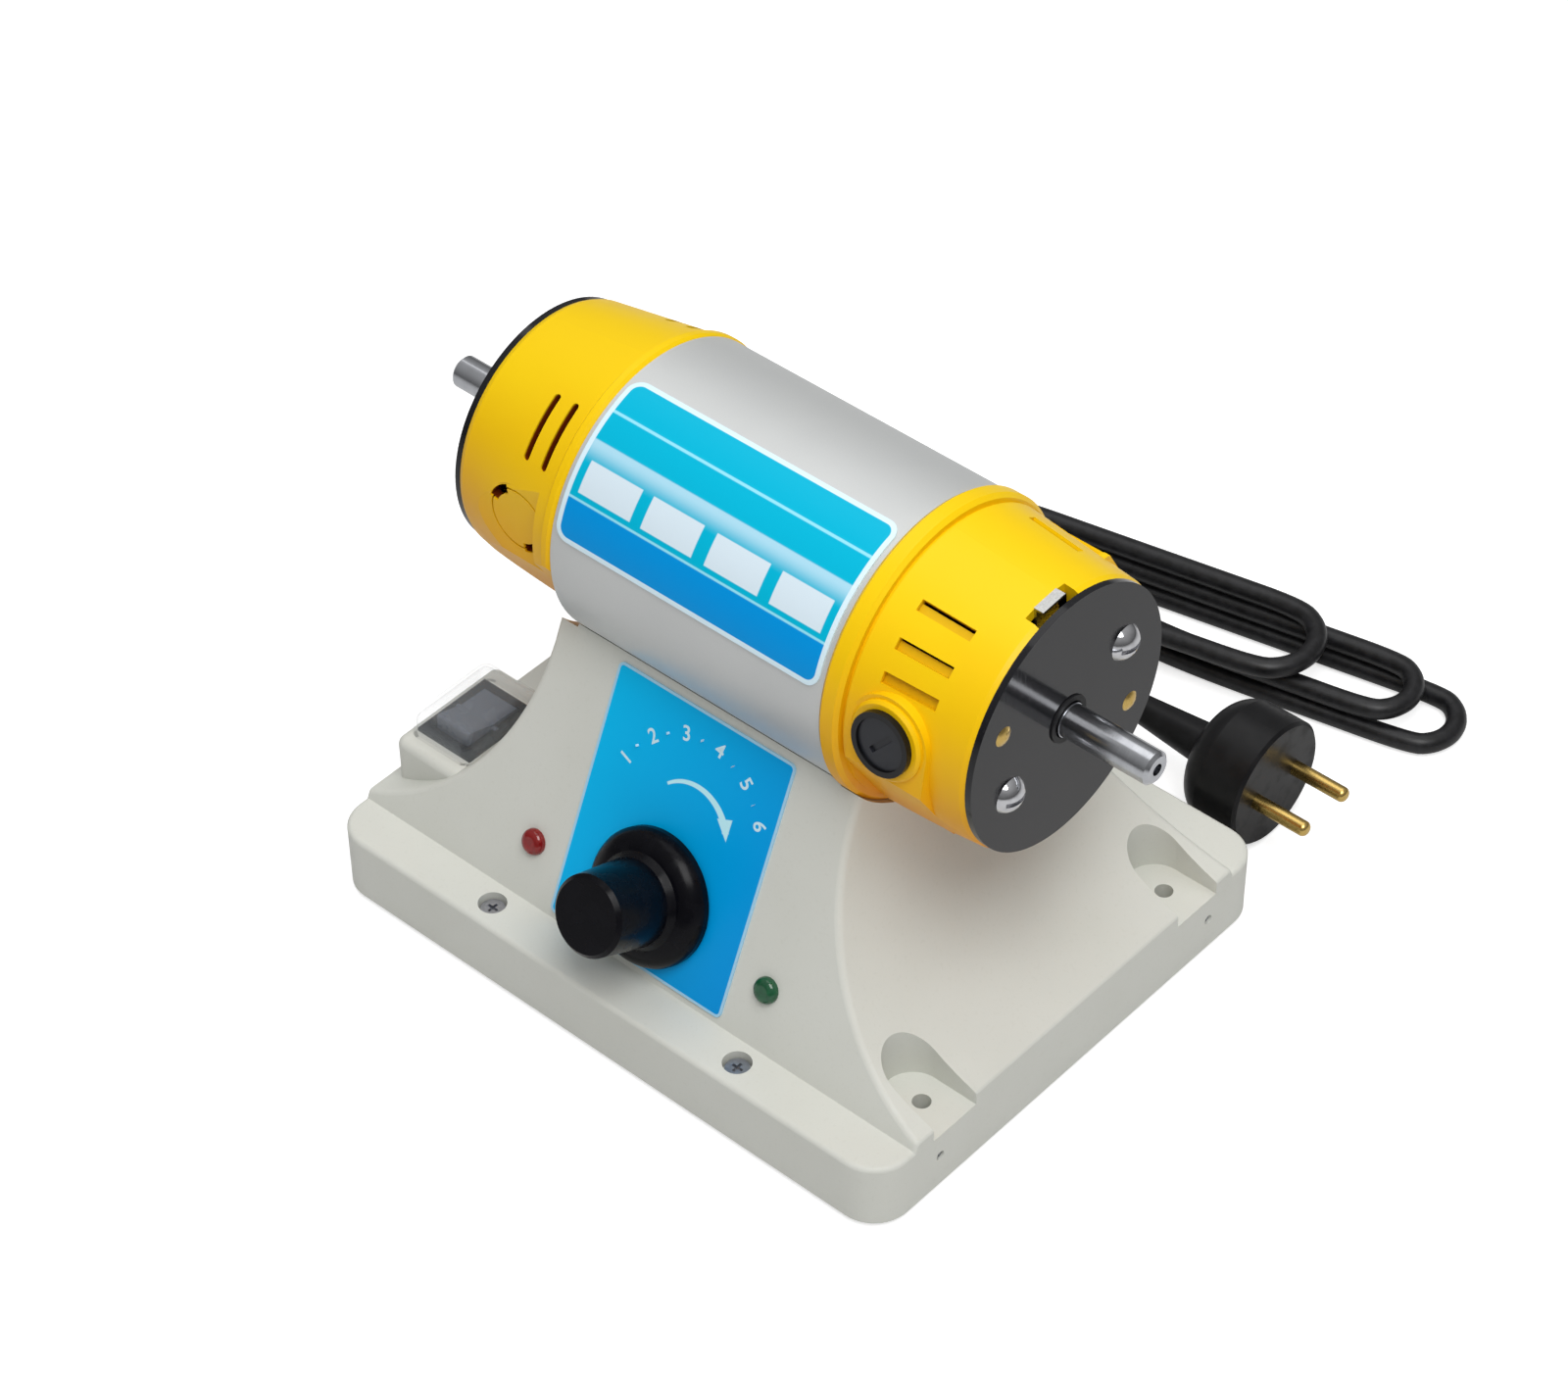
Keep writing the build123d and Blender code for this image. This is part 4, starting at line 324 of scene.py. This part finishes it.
def smooth_plastic(name, colour, roughness, specular=0.35):
    """Gloss plastic: even colour, slight waviness and faint rubbed patches."""
    finish = Finish(name, colour, roughness, specular=specular)
    lighter = tuple(min(255, value + 9) for value in colour)
    rubbed = finish.noise(6.0, 4.0).within(0.55, 0.8, 0.1)
    finish.colour(finish.mix(rubbed * 0.35, linear(*colour), linear(*lighter)))
    finish.rough(roughness + 0.12 * rubbed)
    finish.bump(finish.noise(14.0, 1.0), 0.04)
    return finish


def plain_metal(name, colour, roughness, grain_mm):
    """Bare or plated metal with a fine grain of that size."""
    finish = Finish(name, colour, roughness, metallic=1.0)
    grain = finish.noise(grain_mm, 3.0)
    darker = tuple(int(value * 0.8) for value in colour)
    finish.colour(finish.mix(grain, linear(*colour), linear(*darker)))
    finish.rough(roughness - 0.05 + 0.14 * grain)
    finish.bump(grain, 0.006)
    return finish


def yellow_caps():
    """Yellow moulded caps: lemon above, with painted shade that warms them towards the underside and darkens
    the slots and each notch.
    """
    finish = Finish("yellow_plastic", (246, 198, 4), 0.36, specular=0.2)
    x, y, z = finish.xyz()
    # Painted shade: the yellow turns orange towards the underside, broken up by random tone.
    underside_shade = ((AXIS_Z + 38 - z) / 80 + 0.3 * (finish.noise(30.0, 2.0) - 0.5)).clamped()
    yellow = finish.mix(underside_shade, linear(246, 205, 6), linear(232, 148, 2))
    radius = distance(y, z - AXIS_Z)
    right_depth = RIGHT_CAP_R - RIGHT_CAP_TAPER * (x - RIGHT_CAP_X) - radius
    left_depth = LEFT_CAP_R - LEFT_CAP_TAPER * (0 - x - LEFT_CAP_X) - radius
    # Painted shade: dark brown in the floors and slits of the vent slots, where shade falls.
    recess_shade = right_depth.above(0.9, 0.3) * 0.25
    slit_shade = right_depth.above(2.4, 0.3)
    vent_shade = (recess_shade + slit_shade) * x.within(*RIGHT_VENTS_X, 0.3)
    vent_shade = vent_shade + left_depth.above(0.6, 0.2) * x.within(*LEFT_VENTS_X, 0.2)
    vent_shade = vent_shade * (abs(y) / radius).within(0.45, 0.90, 0.01) * z.above(AXIS_Z + 10, 1.0)
    # Painted shade: dark brown in each notch round a blanking plug.
    in_notch = distance(x - BLANK_X, z - BLANK_Z).below(BLANK_NOTCH_R, 0.1)
    notch_shade = in_notch * abs(y).below(SIDE_FLAT - 0.6, 0.2)
    finish.colour(finish.mix((vent_shade + notch_shade).by("MINIMUM", 1.0), yellow, linear(112, 42, 4)))
    finish.rough(0.32 + 0.12 * finish.noise(9.0, 2.0))
    finish.bump(finish.noise(0.5, 1.0), 0.012)
    return finish


def painted_barrel():
    """Silver-grey enamel on the barrel: a light orange peel under a clear gloss."""
    finish = Finish("silver_grey_enamel", (204, 206, 205), 0.46, metallic=0.35, coat=0.05, specular=0.3)
    finish.constant("Coat Roughness", 0.2)
    clouds = finish.noise(35.0, 2.0)
    flakes = finish.noise(0.25, 1.0).above(0.6, 0.08)
    tone = clouds * 0.8 + flakes * 0.2
    finish.colour(finish.mix(tone, linear(208, 210, 209), linear(196, 198, 198)))
    finish.rough(0.42 + 0.08 * clouds)
    finish.bump(finish.noise(1.6, 2.0), 0.012)
    return finish


def black_disc():
    """Gloss black lacquer on the end plates, with a few fine wipe marks."""
    finish = Finish("gloss_black_lacquer", (24, 24, 27), 0.10, specular=0.3)
    marks = finish.noise(0.5, 3.0, (1.0, 1.0, 14.0)).within(0.62, 0.8, 0.05)
    finish.rough(0.09 + 0.10 * marks + 0.05 * finish.noise(16.0, 2.0))
    finish.colour(finish.mix(marks * 0.3, linear(22, 22, 25), linear(42, 42, 46)))
    finish.bump(finish.noise(24.0, 1.0), 0.02)
    return finish


def turned_steel():
    """Ground steel bar: rings of grinding marks round the shaft, with faint stains."""
    finish = Finish("ground_steel", (196, 198, 203), 0.2, metallic=1.0)
    rings = finish.noise(0.12, 2.0, (1.0, 60.0, 60.0))
    stains = finish.noise(5.0, 3.0)
    finish.colour(finish.mix(stains * 0.5 + rings * 0.3, linear(206, 208, 212), linear(140, 142, 148)))
    finish.rough(0.10 + 0.12 * rings + 0.10 * stains)
    finish.bump(rings, 0.006)
    return finish


# Prints, in millimetres and degrees: the dial and its arrow lie on the panel, and the bands and fields go round
# the barrel. The angles of the barrel's prints run from the back over the top to the front.
DIAL_CENTRE = (3.3, 48.4)
DIAL_R = 26.6
DIAL_ANGLES = (160.0, 28.0)
FIGURES = 6
FIGURE_HEIGHT = 6.2
MARK_SIZE = (0.7, 2.6, 0.06)
ARROW_CENTRE = (4.0, 47.0)
ARROW_R = 14.5
ARROW_ANGLES = (134.0, 26.0)
ARROW_START_WIDTH = 0.45
ARROW_WIDENING = 0.75
ARROW_TIP_PAST_LINE = 9.0
ARROW_TIP_INWARDS = 4.0
ARROW_HEAD_LENGTH = 6.4
ARROW_HEAD_SLOPE = 0.42
TOP_LINE_ANGLES = (116.2, 117.3)
FADE_ANGLES = (128.0, 133.0)
FIELD_ANGLES = (135.2, 147.2)
FIELDS_X = ((-43.5, -24.5), (-20.6, -2.2), (2.4, 21.4), (25.6, 43.6))
LOW_LINE_ANGLES = (149.1, 150.0)
STRIP_ANGLE = 149.6
PRINT_EDGE = 0.12


def border(across, along, half_width, half_length, corner, width):
    """1 on a printed border of that width round a rectangle with round corners, 0 inside it."""
    past_x = (abs(across) - (half_width - corner)).by("MAXIMUM", 0.0)
    past_y = (abs(along) - (half_length - corner)).by("MAXIMUM", 0.0)
    return distance(past_x, past_y).above(corner - width, PRINT_EDGE)


def arrow_print(x, s):
    """1 on the curved arrow that shows which way the dial turns, 0 round it. Its line widens to the head."""
    across = x - ARROW_CENTRE[0]
    up = s - ARROW_CENTRE[1]
    reach = distance(across, up)
    angle = up.by("ARCTAN2", across) * (180 / math.pi)
    first, last = ARROW_ANGLES
    gone = (first - angle) / (first - last)
    width = ARROW_START_WIDTH + ARROW_WIDENING * gone
    line = (abs(reach - ARROW_R) - width).below(0.0, 0.14) * angle.within(last, first, 0.8)
    tip = math.radians(last - ARROW_TIP_PAST_LINE)
    point = (ARROW_CENTRE[0] + ARROW_R * math.cos(tip), ARROW_CENTRE[1] + ARROW_R * math.sin(tip))
    heading = math.radians(last - 90.0 - ARROW_TIP_INWARDS)
    forward = (x - point[0]) * math.cos(heading) + (s - point[1]) * math.sin(heading)
    aside = (s - point[1]) * math.cos(heading) - (x - point[0]) * math.sin(heading)
    back = -1 * forward
    wedge = (abs(aside) - back * ARROW_HEAD_SLOPE).below(0.0, 0.14)
    return line.by("MAXIMUM", wedge * back.within(-0.4, ARROW_HEAD_LENGTH, PRINT_EDGE))


def panel_print():
    """Blue plate of the sloping panel: lighter at its left, with a thin pale rim and a white arrow."""
    finish = Finish("panel_print", (0, 158, 224), 0.34, specular=0.1)
    x, y, z = finish.xyz()
    x = x - PANEL_X
    along = (y - PANEL_FOOT_Y) * math.sin(PANEL_LEAN) + (z - LEDGE_Z) * math.cos(PANEL_LEAN)
    middle = PANEL_LABEL_START + PANEL_LABEL[1] / 2
    width, length = PANEL_LABEL
    shade = ((x + width / 2) / width * 0.75 + (70 - along) / 280).clamped()
    blue = finish.mix(shade, linear(0, 190, 246), linear(0, 148, 226))
    blue = finish.mix(arrow_print(x, along), blue, linear(196, 244, 255))
    rim = border(x, along - middle, width / 2, length / 2, PANEL_LABEL_CORNER, 0.8)
    finish.colour(finish.mix(rim, blue, linear(168, 214, 240)))
    finish.rough(0.30 + 0.1 * finish.noise(8.0, 2.0))
    finish.bump(finish.noise(0.5, 1.0), 0.006)
    return finish


def motor_print():
    """Blue plate on the barrel: two plain bands, four blank pale fields and a darker strip, in a pale rim."""
    finish = Finish("motor_print", (0, 178, 216), 0.32, specular=0.1)
    x, y, z = finish.xyz()
    turn = 180 - (z - AXIS_Z).by("ARCTAN2", -1 * y) * (180 / math.pi)
    start, end = MOTOR_LABEL_ANGLES
    per_degree = math.radians(HOUSING_R)
    middle = (start + end) / 2
    arc = (turn - middle) * per_degree
    blur = 0.25
    colour = finish.mix(turn.above(STRIP_ANGLE, blur), linear(0, 180, 214), linear(0, 148, 224))
    fade = turn.above(FADE_ANGLES[0], 0.4) * turn.below(FADE_ANGLES[1], 4.0)
    colour = finish.mix(fade * 0.8, colour, linear(190, 228, 244))
    row = turn.within(*FIELD_ANGLES, blur)
    for field_x in FIELDS_X:
        colour = finish.mix(x.within(*field_x, 0.2) * row, colour, linear(216, 232, 242))
    lines = turn.within(*TOP_LINE_ANGLES, blur).by("MAXIMUM", turn.within(*LOW_LINE_ANGLES, blur))
    colour = finish.mix(lines, colour, linear(150, 226, 246))
    half_arc = (end - start) / 2 * per_degree
    rim = border(x, arc, MOTOR_LABEL_LENGTH / 2, half_arc, MOTOR_LABEL_CORNER, 1.5)
    finish.colour(finish.mix(rim, colour, linear(218, 240, 250)))
    finish.rough(0.28 + 0.1 * finish.noise(10.0, 2.0))
    finish.bump(finish.noise(0.5, 1.0), 0.006)
    return finish


def clear_plastic():
    """The soft clear cover over the switch: hardly seen face on, and whiter where it is seen edge on, as a
    painted sheen.
    """
    finish = Finish("clear_cover", (226, 232, 236), 0.10, specular=0.4)
    rim = finish.add("ShaderNodeLayerWeight", None, {"Blend": 0.35})
    # Painted sheen: the whitish cover grows more opaque where it is seen edge on.
    finish.feed(finish.shader.inputs["Alpha"], 0.03 + 0.22 * Wire(finish, rim.outputs["Facing"]))
    finish.rough(0.08 + 0.12 * finish.noise(4.0, 2.0))
    finish.bump(finish.noise(5.0, 1.0), 0.10)
    return finish


def lamp_lens(name, colour, glow):
    """A coloured lens with a brighter core."""
    finish = Finish(name, colour, 0.12, coat=0.3, specular=0.4)
    core = finish.noise(1.6, 1.0)
    finish.colour(finish.mix(core, linear(*colour), linear(*glow)))
    finish.rough(0.10 + 0.1 * core)
    return finish


def cord_rubber():
    """Black mains lead: soft sheen, a fine grain and a little dust."""
    finish = Finish("cord_rubber", (17, 17, 19), 0.40, specular=0.4)
    dust = finish.noise(3.0, 4.0)
    finish.colour(finish.mix(dust.within(0.5, 0.8, 0.1) * 0.5, linear(15, 15, 17), linear(34, 34, 37)))
    finish.rough(0.34 + 0.14 * dust)
    finish.bump(finish.noise(0.7, 2.0), 0.02)
    return finish


def laminations():
    """Stacked sheet steel with fine lines across the shaft."""
    finish = Finish("laminated_steel", (120, 120, 122), 0.45, metallic=0.9)
    sheets = finish.noise(0.5, 1.0, (1.0, 80.0, 80.0))
    finish.colour(finish.mix(sheets, linear(140, 140, 142), linear(70, 68, 66)))
    finish.bump(sheets, 0.05)
    return finish


def copper_wire():
    """Enamelled copper wire, seen as fine strands."""
    finish = Finish("enamelled_copper", (150, 72, 30), 0.32, metallic=0.7)
    strands = finish.noise(0.8, 1.0, (30.0, 1.0, 1.0))
    finish.colour(finish.mix(strands, linear(176, 92, 40), linear(96, 40, 16)))
    finish.bump(strands, 0.12)
    return finish


def circuit_board():
    """Green board with fine copper tracks under the varnish."""
    finish = Finish("board_green", (18, 84, 44), 0.35, coat=0.3)
    tracks = finish.noise(3.0, 0.0).within(0.46, 0.52, 0.01)
    finish.colour(finish.mix(tracks, linear(18, 84, 44), linear(44, 128, 70)))
    finish.bump(tracks, 0.03)
    return finish


def white_print():
    """White screen print, slightly uneven where the ink is thin."""
    finish = Finish("white_print", (214, 240, 248), 0.4, specular=0.1)
    finish.colour(finish.mix(finish.noise(0.6, 2.0), linear(222, 246, 252), linear(190, 226, 240)))
    return finish


def paint(finish, *names):
    """Gives the material to every slot of the solids of those names."""
    for name in names:
        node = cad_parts[name]
        for slot in node.material_slots:
            slot.material = finish.material


def paint_all():
    paint(moulded_plastic("light_grey_plastic", (215, 216, 209), (206, 207, 198), 0.48, 0.25), "base_shell")
    paint(painted_barrel(), "motor_housing")
    paint(yellow_caps(), "left_end_cap", "right_end_cap", "blanking_plugs")
    paint(black_disc(), "left_end_plate", "right_end_plate")
    paint(plain_metal("polished_chrome", (220, 221, 224), 0.08, 2.0), "end_plate_screws")
    paint(plain_metal("polished_brass", (224, 190, 112), 0.24, 0.5), "end_plate_rivets", "plug_pins")
    paint(plain_metal("spring_steel", (214, 214, 212), 0.26, 0.5), "cap_clip")
    steel = turned_steel()
    paint(steel, "spindle_shaft", "bearing_inner_rings", "bearing_outer_rings")
    paint(steel, "left_bearing_balls", "right_bearing_balls")
    zinc = plain_metal("zinc_plate", (176, 178, 184), 0.34, 0.8)
    paint(zinc, "bottom_plate", "case_screws", "side_screws", "motor_bolts", "board_screws")
    paint(zinc, "speed_control_body", "speed_control_spindle", "speed_control_nut", "brush_springs")
    paint(smooth_plastic("knob_plastic", (7, 7, 12), 0.22, 0.12), "speed_knob", "rocker_switch_body")
    paint(smooth_plastic("holder_plastic", (13, 13, 15), 0.3, 0.3), "brush_holders")
    paint(smooth_plastic("brush_cap_plastic", (30, 32, 38), 0.34, 0.35), "brush_caps")
    paint(smooth_plastic("plug_plastic", (12, 12, 14), 0.36, 0.25), "plug_body")
    paint(smooth_plastic("grey_rocker", (70, 77, 90), 0.22, 0.35), "switch_rocker")
    rubber = moulded_plastic("black_rubber", (20, 20, 22), (30, 30, 32), 0.6)
    paint(rubber, "rubber_feet", "shaft_seals", "strain_relief")
    paint(laminations(), "stator_core", "armature_core")
    paint(copper_wire(), "field_coils", "armature_windings", "commutator")
    dark = smooth_plastic("dark_plastic", (38, 38, 41), 0.4)
    paint(dark, "cooling_fan", "board_standoffs", "carbon_brushes")
    paint(circuit_board(), "control_board")
    paint(moulded_plastic("component_grey", (96, 98, 104), (70, 72, 78), 0.4), "board_components")
    paint(panel_print(), "panel_label")
    paint(motor_print(), "motor_label")
    paint(clear_plastic(), "switch_cover")
    paint(lamp_lens("red_lens", (104, 14, 16), (150, 26, 24)), "red_led")
    paint(lamp_lens("green_lens", (14, 62, 40), (30, 96, 60)), "green_led")


# Dial print on the panel


def on_panel(x, s, lift):
    """A place on the panel's plate: x from its middle, s up the slope and lift above its face."""
    out = LABEL_THICKNESS + lift
    y = PANEL_FOOT_Y + s * math.sin(PANEL_LEAN) - out * math.cos(PANEL_LEAN)
    z = LEDGE_Z + s * math.cos(PANEL_LEAN) + out * math.sin(PANEL_LEAN)
    return Vector((PANEL_X + x, y, z)) * MM


def lay_on_panel(mesh, centre, turn):
    """Takes a flat mesh in millimetres to the panel, turned about its own middle."""
    for vertex in mesh.vertices:
        x, s, lift = vertex.co
        across = x * math.cos(turn) - s * math.sin(turn)
        up = x * math.sin(turn) + s * math.cos(turn)
        vertex.co = on_panel(centre[0] + across, centre[1] + up, lift)


def number_mesh(figure, height):
    """One flat number, in millimetres, with its middle at the origin."""
    curve = bpy.data.curves.new("figure", "FONT")
    curve.body = figure
    curve.size = height
    curve.align_x = "CENTER"
    curve.align_y = "CENTER"
    curve.offset = 0.09
    curve.extrude = 0.03
    writing = bpy.data.objects.new("figure", curve)
    bpy.context.collection.objects.link(writing)
    bpy.context.view_layer.update()
    mesh = bpy.data.meshes.new_from_object(writing.evaluated_get(bpy.context.evaluated_depsgraph_get()))
    bpy.data.objects.remove(writing)
    return mesh


def marks_tree():
    """A tree that sets equal short marks round part of a circle."""
    tree = bpy.data.node_groups.new("dial_marks", "GeometryNodeTree")
    face = tree.interface
    face.new_socket("Geometry", in_out="INPUT", socket_type="NodeSocketGeometry")
    face.new_socket("Geometry", in_out="OUTPUT", socket_type="NodeSocketGeometry")
    count = face.new_socket("Marks", in_out="INPUT", socket_type="NodeSocketInt")
    radius = face.new_socket("Radius", in_out="INPUT", socket_type="NodeSocketFloat")
    start = face.new_socket("Start", in_out="INPUT", socket_type="NodeSocketFloat")
    sweep = face.new_socket("Sweep", in_out="INPUT", socket_type="NodeSocketFloat")
    size = face.new_socket("Mark size", in_out="INPUT", socket_type="NodeSocketVector")
    group_in = tree.nodes.new("NodeGroupInput")
    group_out = tree.nodes.new("NodeGroupOutput")
    arc = tree.nodes.new("GeometryNodeCurveArc")
    tree.links.new(group_in.outputs["Marks"], arc.inputs["Resolution"])
    tree.links.new(group_in.outputs["Radius"], arc.inputs["Radius"])
    tree.links.new(group_in.outputs["Start"], arc.inputs["Start Angle"])
    tree.links.new(group_in.outputs["Sweep"], arc.inputs["Sweep Angle"])
    to_points = tree.nodes.new("GeometryNodeCurveToPoints")
    to_points.mode = "EVALUATED"
    tree.links.new(arc.outputs["Curve"], to_points.inputs["Curve"])
    mark = tree.nodes.new("GeometryNodeMeshCube")
    tree.links.new(group_in.outputs["Mark size"], mark.inputs["Size"])
    place = tree.nodes.new("GeometryNodeInstanceOnPoints")
    tree.links.new(to_points.outputs["Points"], place.inputs["Points"])
    tree.links.new(mark.outputs["Mesh"], place.inputs["Instance"])
    tree.links.new(to_points.outputs["Rotation"], place.inputs["Rotation"])
    real = tree.nodes.new("GeometryNodeRealizeInstances")
    tree.links.new(place.outputs["Instances"], real.inputs[0])
    tree.links.new(real.outputs[0], group_out.inputs[0])
    names = {"count": count, "radius": radius, "start": start, "sweep": sweep, "size": size}
    return tree, {key: socket.identifier for key, socket in names.items()}


def mark_mesh(count, radius, start, sweep, size):
    """The scale's marks in millimetres round the dial's centre, as a plain mesh."""
    tree, sockets = marks_tree()
    holder = bpy.data.objects.new("marks", bpy.data.meshes.new("marks"))
    bpy.context.collection.objects.link(holder)
    modifier = holder.modifiers.new("dial_marks", "NODES")
    modifier.node_group = tree
    modifier[sockets["count"]] = count
    modifier[sockets["radius"]] = radius
    modifier[sockets["start"]] = start
    modifier[sockets["sweep"]] = sweep
    modifier[sockets["size"]] = size
    bpy.context.view_layer.update()
    mesh = bpy.data.meshes.new_from_object(holder.evaluated_get(bpy.context.evaluated_depsgraph_get()))
    bpy.data.objects.remove(holder)
    return mesh


def dial_print():
    """The dial's numbers, with marks between them, as one thin printed layer on the panel's plate."""
    first, last = DIAL_ANGLES
    pitch = (first - last) / (FIGURES - 1)
    pieces = []
    for index in range(FIGURES):
        angle = math.radians(first - pitch * index)
        centre = (DIAL_CENTRE[0] + DIAL_R * math.cos(angle), DIAL_CENTRE[1] + DIAL_R * math.sin(angle))
        mesh = number_mesh(str(index + 1), FIGURE_HEIGHT)
        lay_on_panel(mesh, centre, angle - math.pi / 2)
        pieces.append(mesh)
    sweep = -math.radians(pitch * (FIGURES - 2))
    marks = mark_mesh(FIGURES - 1, DIAL_R, math.radians(first - pitch / 2), sweep, MARK_SIZE)
    lay_on_panel(marks, DIAL_CENTRE, 0.0)
    pieces.append(marks)
    joined = bmesh.new()
    for mesh in pieces:
        joined.from_mesh(mesh)
        bpy.data.meshes.remove(mesh)
    bmesh.ops.recalc_face_normals(joined, faces=joined.faces)
    layer = bpy.data.meshes.new("dial_print")
    joined.to_mesh(layer)
    joined.free()
    layer.materials.clear()
    layer.materials.append(white_print().material)
    print_layer = bpy.data.objects.new("dial_print", layer)
    bpy.context.collection.objects.link(print_layer)
    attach(print_layer, "base")


# Mains lead: the route of the part's source, in metres

CORD_R = 3.25 * MM
CORD_Z = 3.3 * MM
FOLD_POINTS = 6
RUN_STEP = 26 * MM
HANK_LEAN = math.radians(12.0)
HANK_CENTRE = (51.7 * MM, 169.8 * MM)
HANK_FOLD_R = 12.0 * MM
HANK_LAYER = 7.5 * MM
HANK_START = -88.0 * MM
HANK_LEFT = -97.0 * MM
HANK_RIGHTS = (44.7 * MM, 29.9 * MM)
HANK_CLIMB = 80.0 * MM
HANK_CLIMB_STEPS = ((8 * MM, 0.0), (30 * MM, 0.28), (50 * MM, 0.72), (72 * MM, 1.0))
HANK_LAST_FOLD = -5.6 * MM
HANK_LAST_COLUMN = 19.2 * MM
HANK_TOP = CORD_Z + 2 * HANK_LAYER
LEAD_EXIT = (-0.0300, 0.1080, 0.0130)
PLUG_NECK_END = (0.0390, 0.1115, 0.0208)


def hank_point(u, w, z):
    """A point of the hank, u along it and w across it."""
    x = HANK_CENTRE[0] + u * math.cos(HANK_LEAN) - w * math.sin(HANK_LEAN)
    y = HANK_CENTRE[1] + u * math.sin(HANK_LEAN) + w * math.cos(HANK_LEAN)
    return (x, y, z)


def fold_points(u, from_w, to_w, z, side):
    """Control points round a half turn, which the smooth line touches midway between them."""
    radius = abs(from_w - to_w) / 2
    middle = (from_w + to_w) / 2
    turn = 1 if from_w > to_w else -1
    pitch = 180 / FOLD_POINTS
    reach = radius / math.cos(math.radians(pitch / 2))
    points = []
    for step in range(FOLD_POINTS):
        angle = math.radians(90 - pitch / 2 - pitch * step)
        w = middle + turn * reach * math.sin(angle)
        points.append(hank_point(u + side * reach * math.cos(angle), w, z))
    return points


def run_points(from_u, to_u, w, z):
    """Control points along a straight level run, without its ends."""
    count = max(2, round(abs(to_u - from_u) / RUN_STEP))
    return [hank_point(from_u + (to_u - from_u) * step / count, w, z) for step in range(1, count)]


def hank_points():
    """From the hank's start on the bench, up two layers to its last fold."""
    points = []
    start = HANK_START
    z = CORD_Z
    climb_start = HANK_LEFT + HANK_CLIMB
    for right in HANK_RIGHTS:
        points += run_points(start, right, HANK_FOLD_R, z)
        points += fold_points(right, HANK_FOLD_R, -HANK_FOLD_R, z, 1)
        points += run_points(right, climb_start, -HANK_FOLD_R, z)
        for back, share in HANK_CLIMB_STEPS:
            points.append(hank_point(climb_start - back, -HANK_FOLD_R, z + share * HANK_LAYER))
        z = z + HANK_LAYER
        points += fold_points(HANK_LEFT, -HANK_FOLD_R, HANK_FOLD_R, z, -1)
        start = HANK_LEFT
    points += run_points(start, HANK_LAST_FOLD, HANK_FOLD_R, z)
    points += fold_points(HANK_LAST_FOLD, HANK_FOLD_R, -HANK_LAST_COLUMN, z, 1)
    return points


def base_lead_points():
    """From the strain relief over the plug's lead to the hank's last fold."""
    return [
        LEAD_EXIT,
        (-0.0300, 0.1190, 0.0130),
        (-0.0251, 0.1288, 0.0134),
        hank_point(-73.8 * MM, -HANK_LAST_COLUMN, 14.2 * MM),
        hank_point(-53.0 * MM, -HANK_LAST_COLUMN, 16.6 * MM),
        hank_point(-33.0 * MM, -HANK_LAST_COLUMN, HANK_TOP),
    ]


def plug_lead_points():
    """From the hank's start round behind the base to the plug's neck."""
    return [
        hank_point(HANK_START - 9.5 * MM, HANK_FOLD_R, CORD_Z),
        (-0.0546, 0.1536, CORD_Z),
        (-0.0589, 0.1428, CORD_Z),
        (-0.0577, 0.1313, CORD_Z),
        (-0.0512, 0.1216, CORD_Z),
        (-0.0410, 0.1162, CORD_Z),
        (-0.0270, 0.1158, CORD_Z),
        (-0.0100, 0.1142, 0.0058),
        (0.0080, 0.1124, 0.0144),
        (0.0250, 0.1115, 0.0208),
        PLUG_NECK_END,
    ]


def mains_lead():
    """The whole lead as one smooth tube, in place of the three solids of its parts."""
    points = base_lead_points() + list(reversed(hank_points())) + plug_lead_points()
    data = bpy.data.curves.new("mains_lead", "CURVE")
    data.dimensions = "3D"
    data.bevel_depth = CORD_R
    data.bevel_resolution = 6
    data.resolution_u = 6
    data.use_fill_caps = True
    spline = data.splines.new("NURBS")
    spline.points.add(len(points) - 1)
    for point, place in zip(spline.points, points):
        point.co = (*place, 1.0)
    spline.order_u = 3
    spline.use_endpoint_u = True
    lead = bpy.data.objects.new("mains_lead", data)
    bpy.context.collection.objects.link(lead)
    data.materials.append(cord_rubber().material)
    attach(lead, "base")
    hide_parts("power_cord", "cord_hank", "plug_lead")


place_camera()
lay_floor()
light_scene()
mains_lead()
dial_print()
paint_all()

view = bpy.context.scene.view_settings
view.view_transform = "Standard"
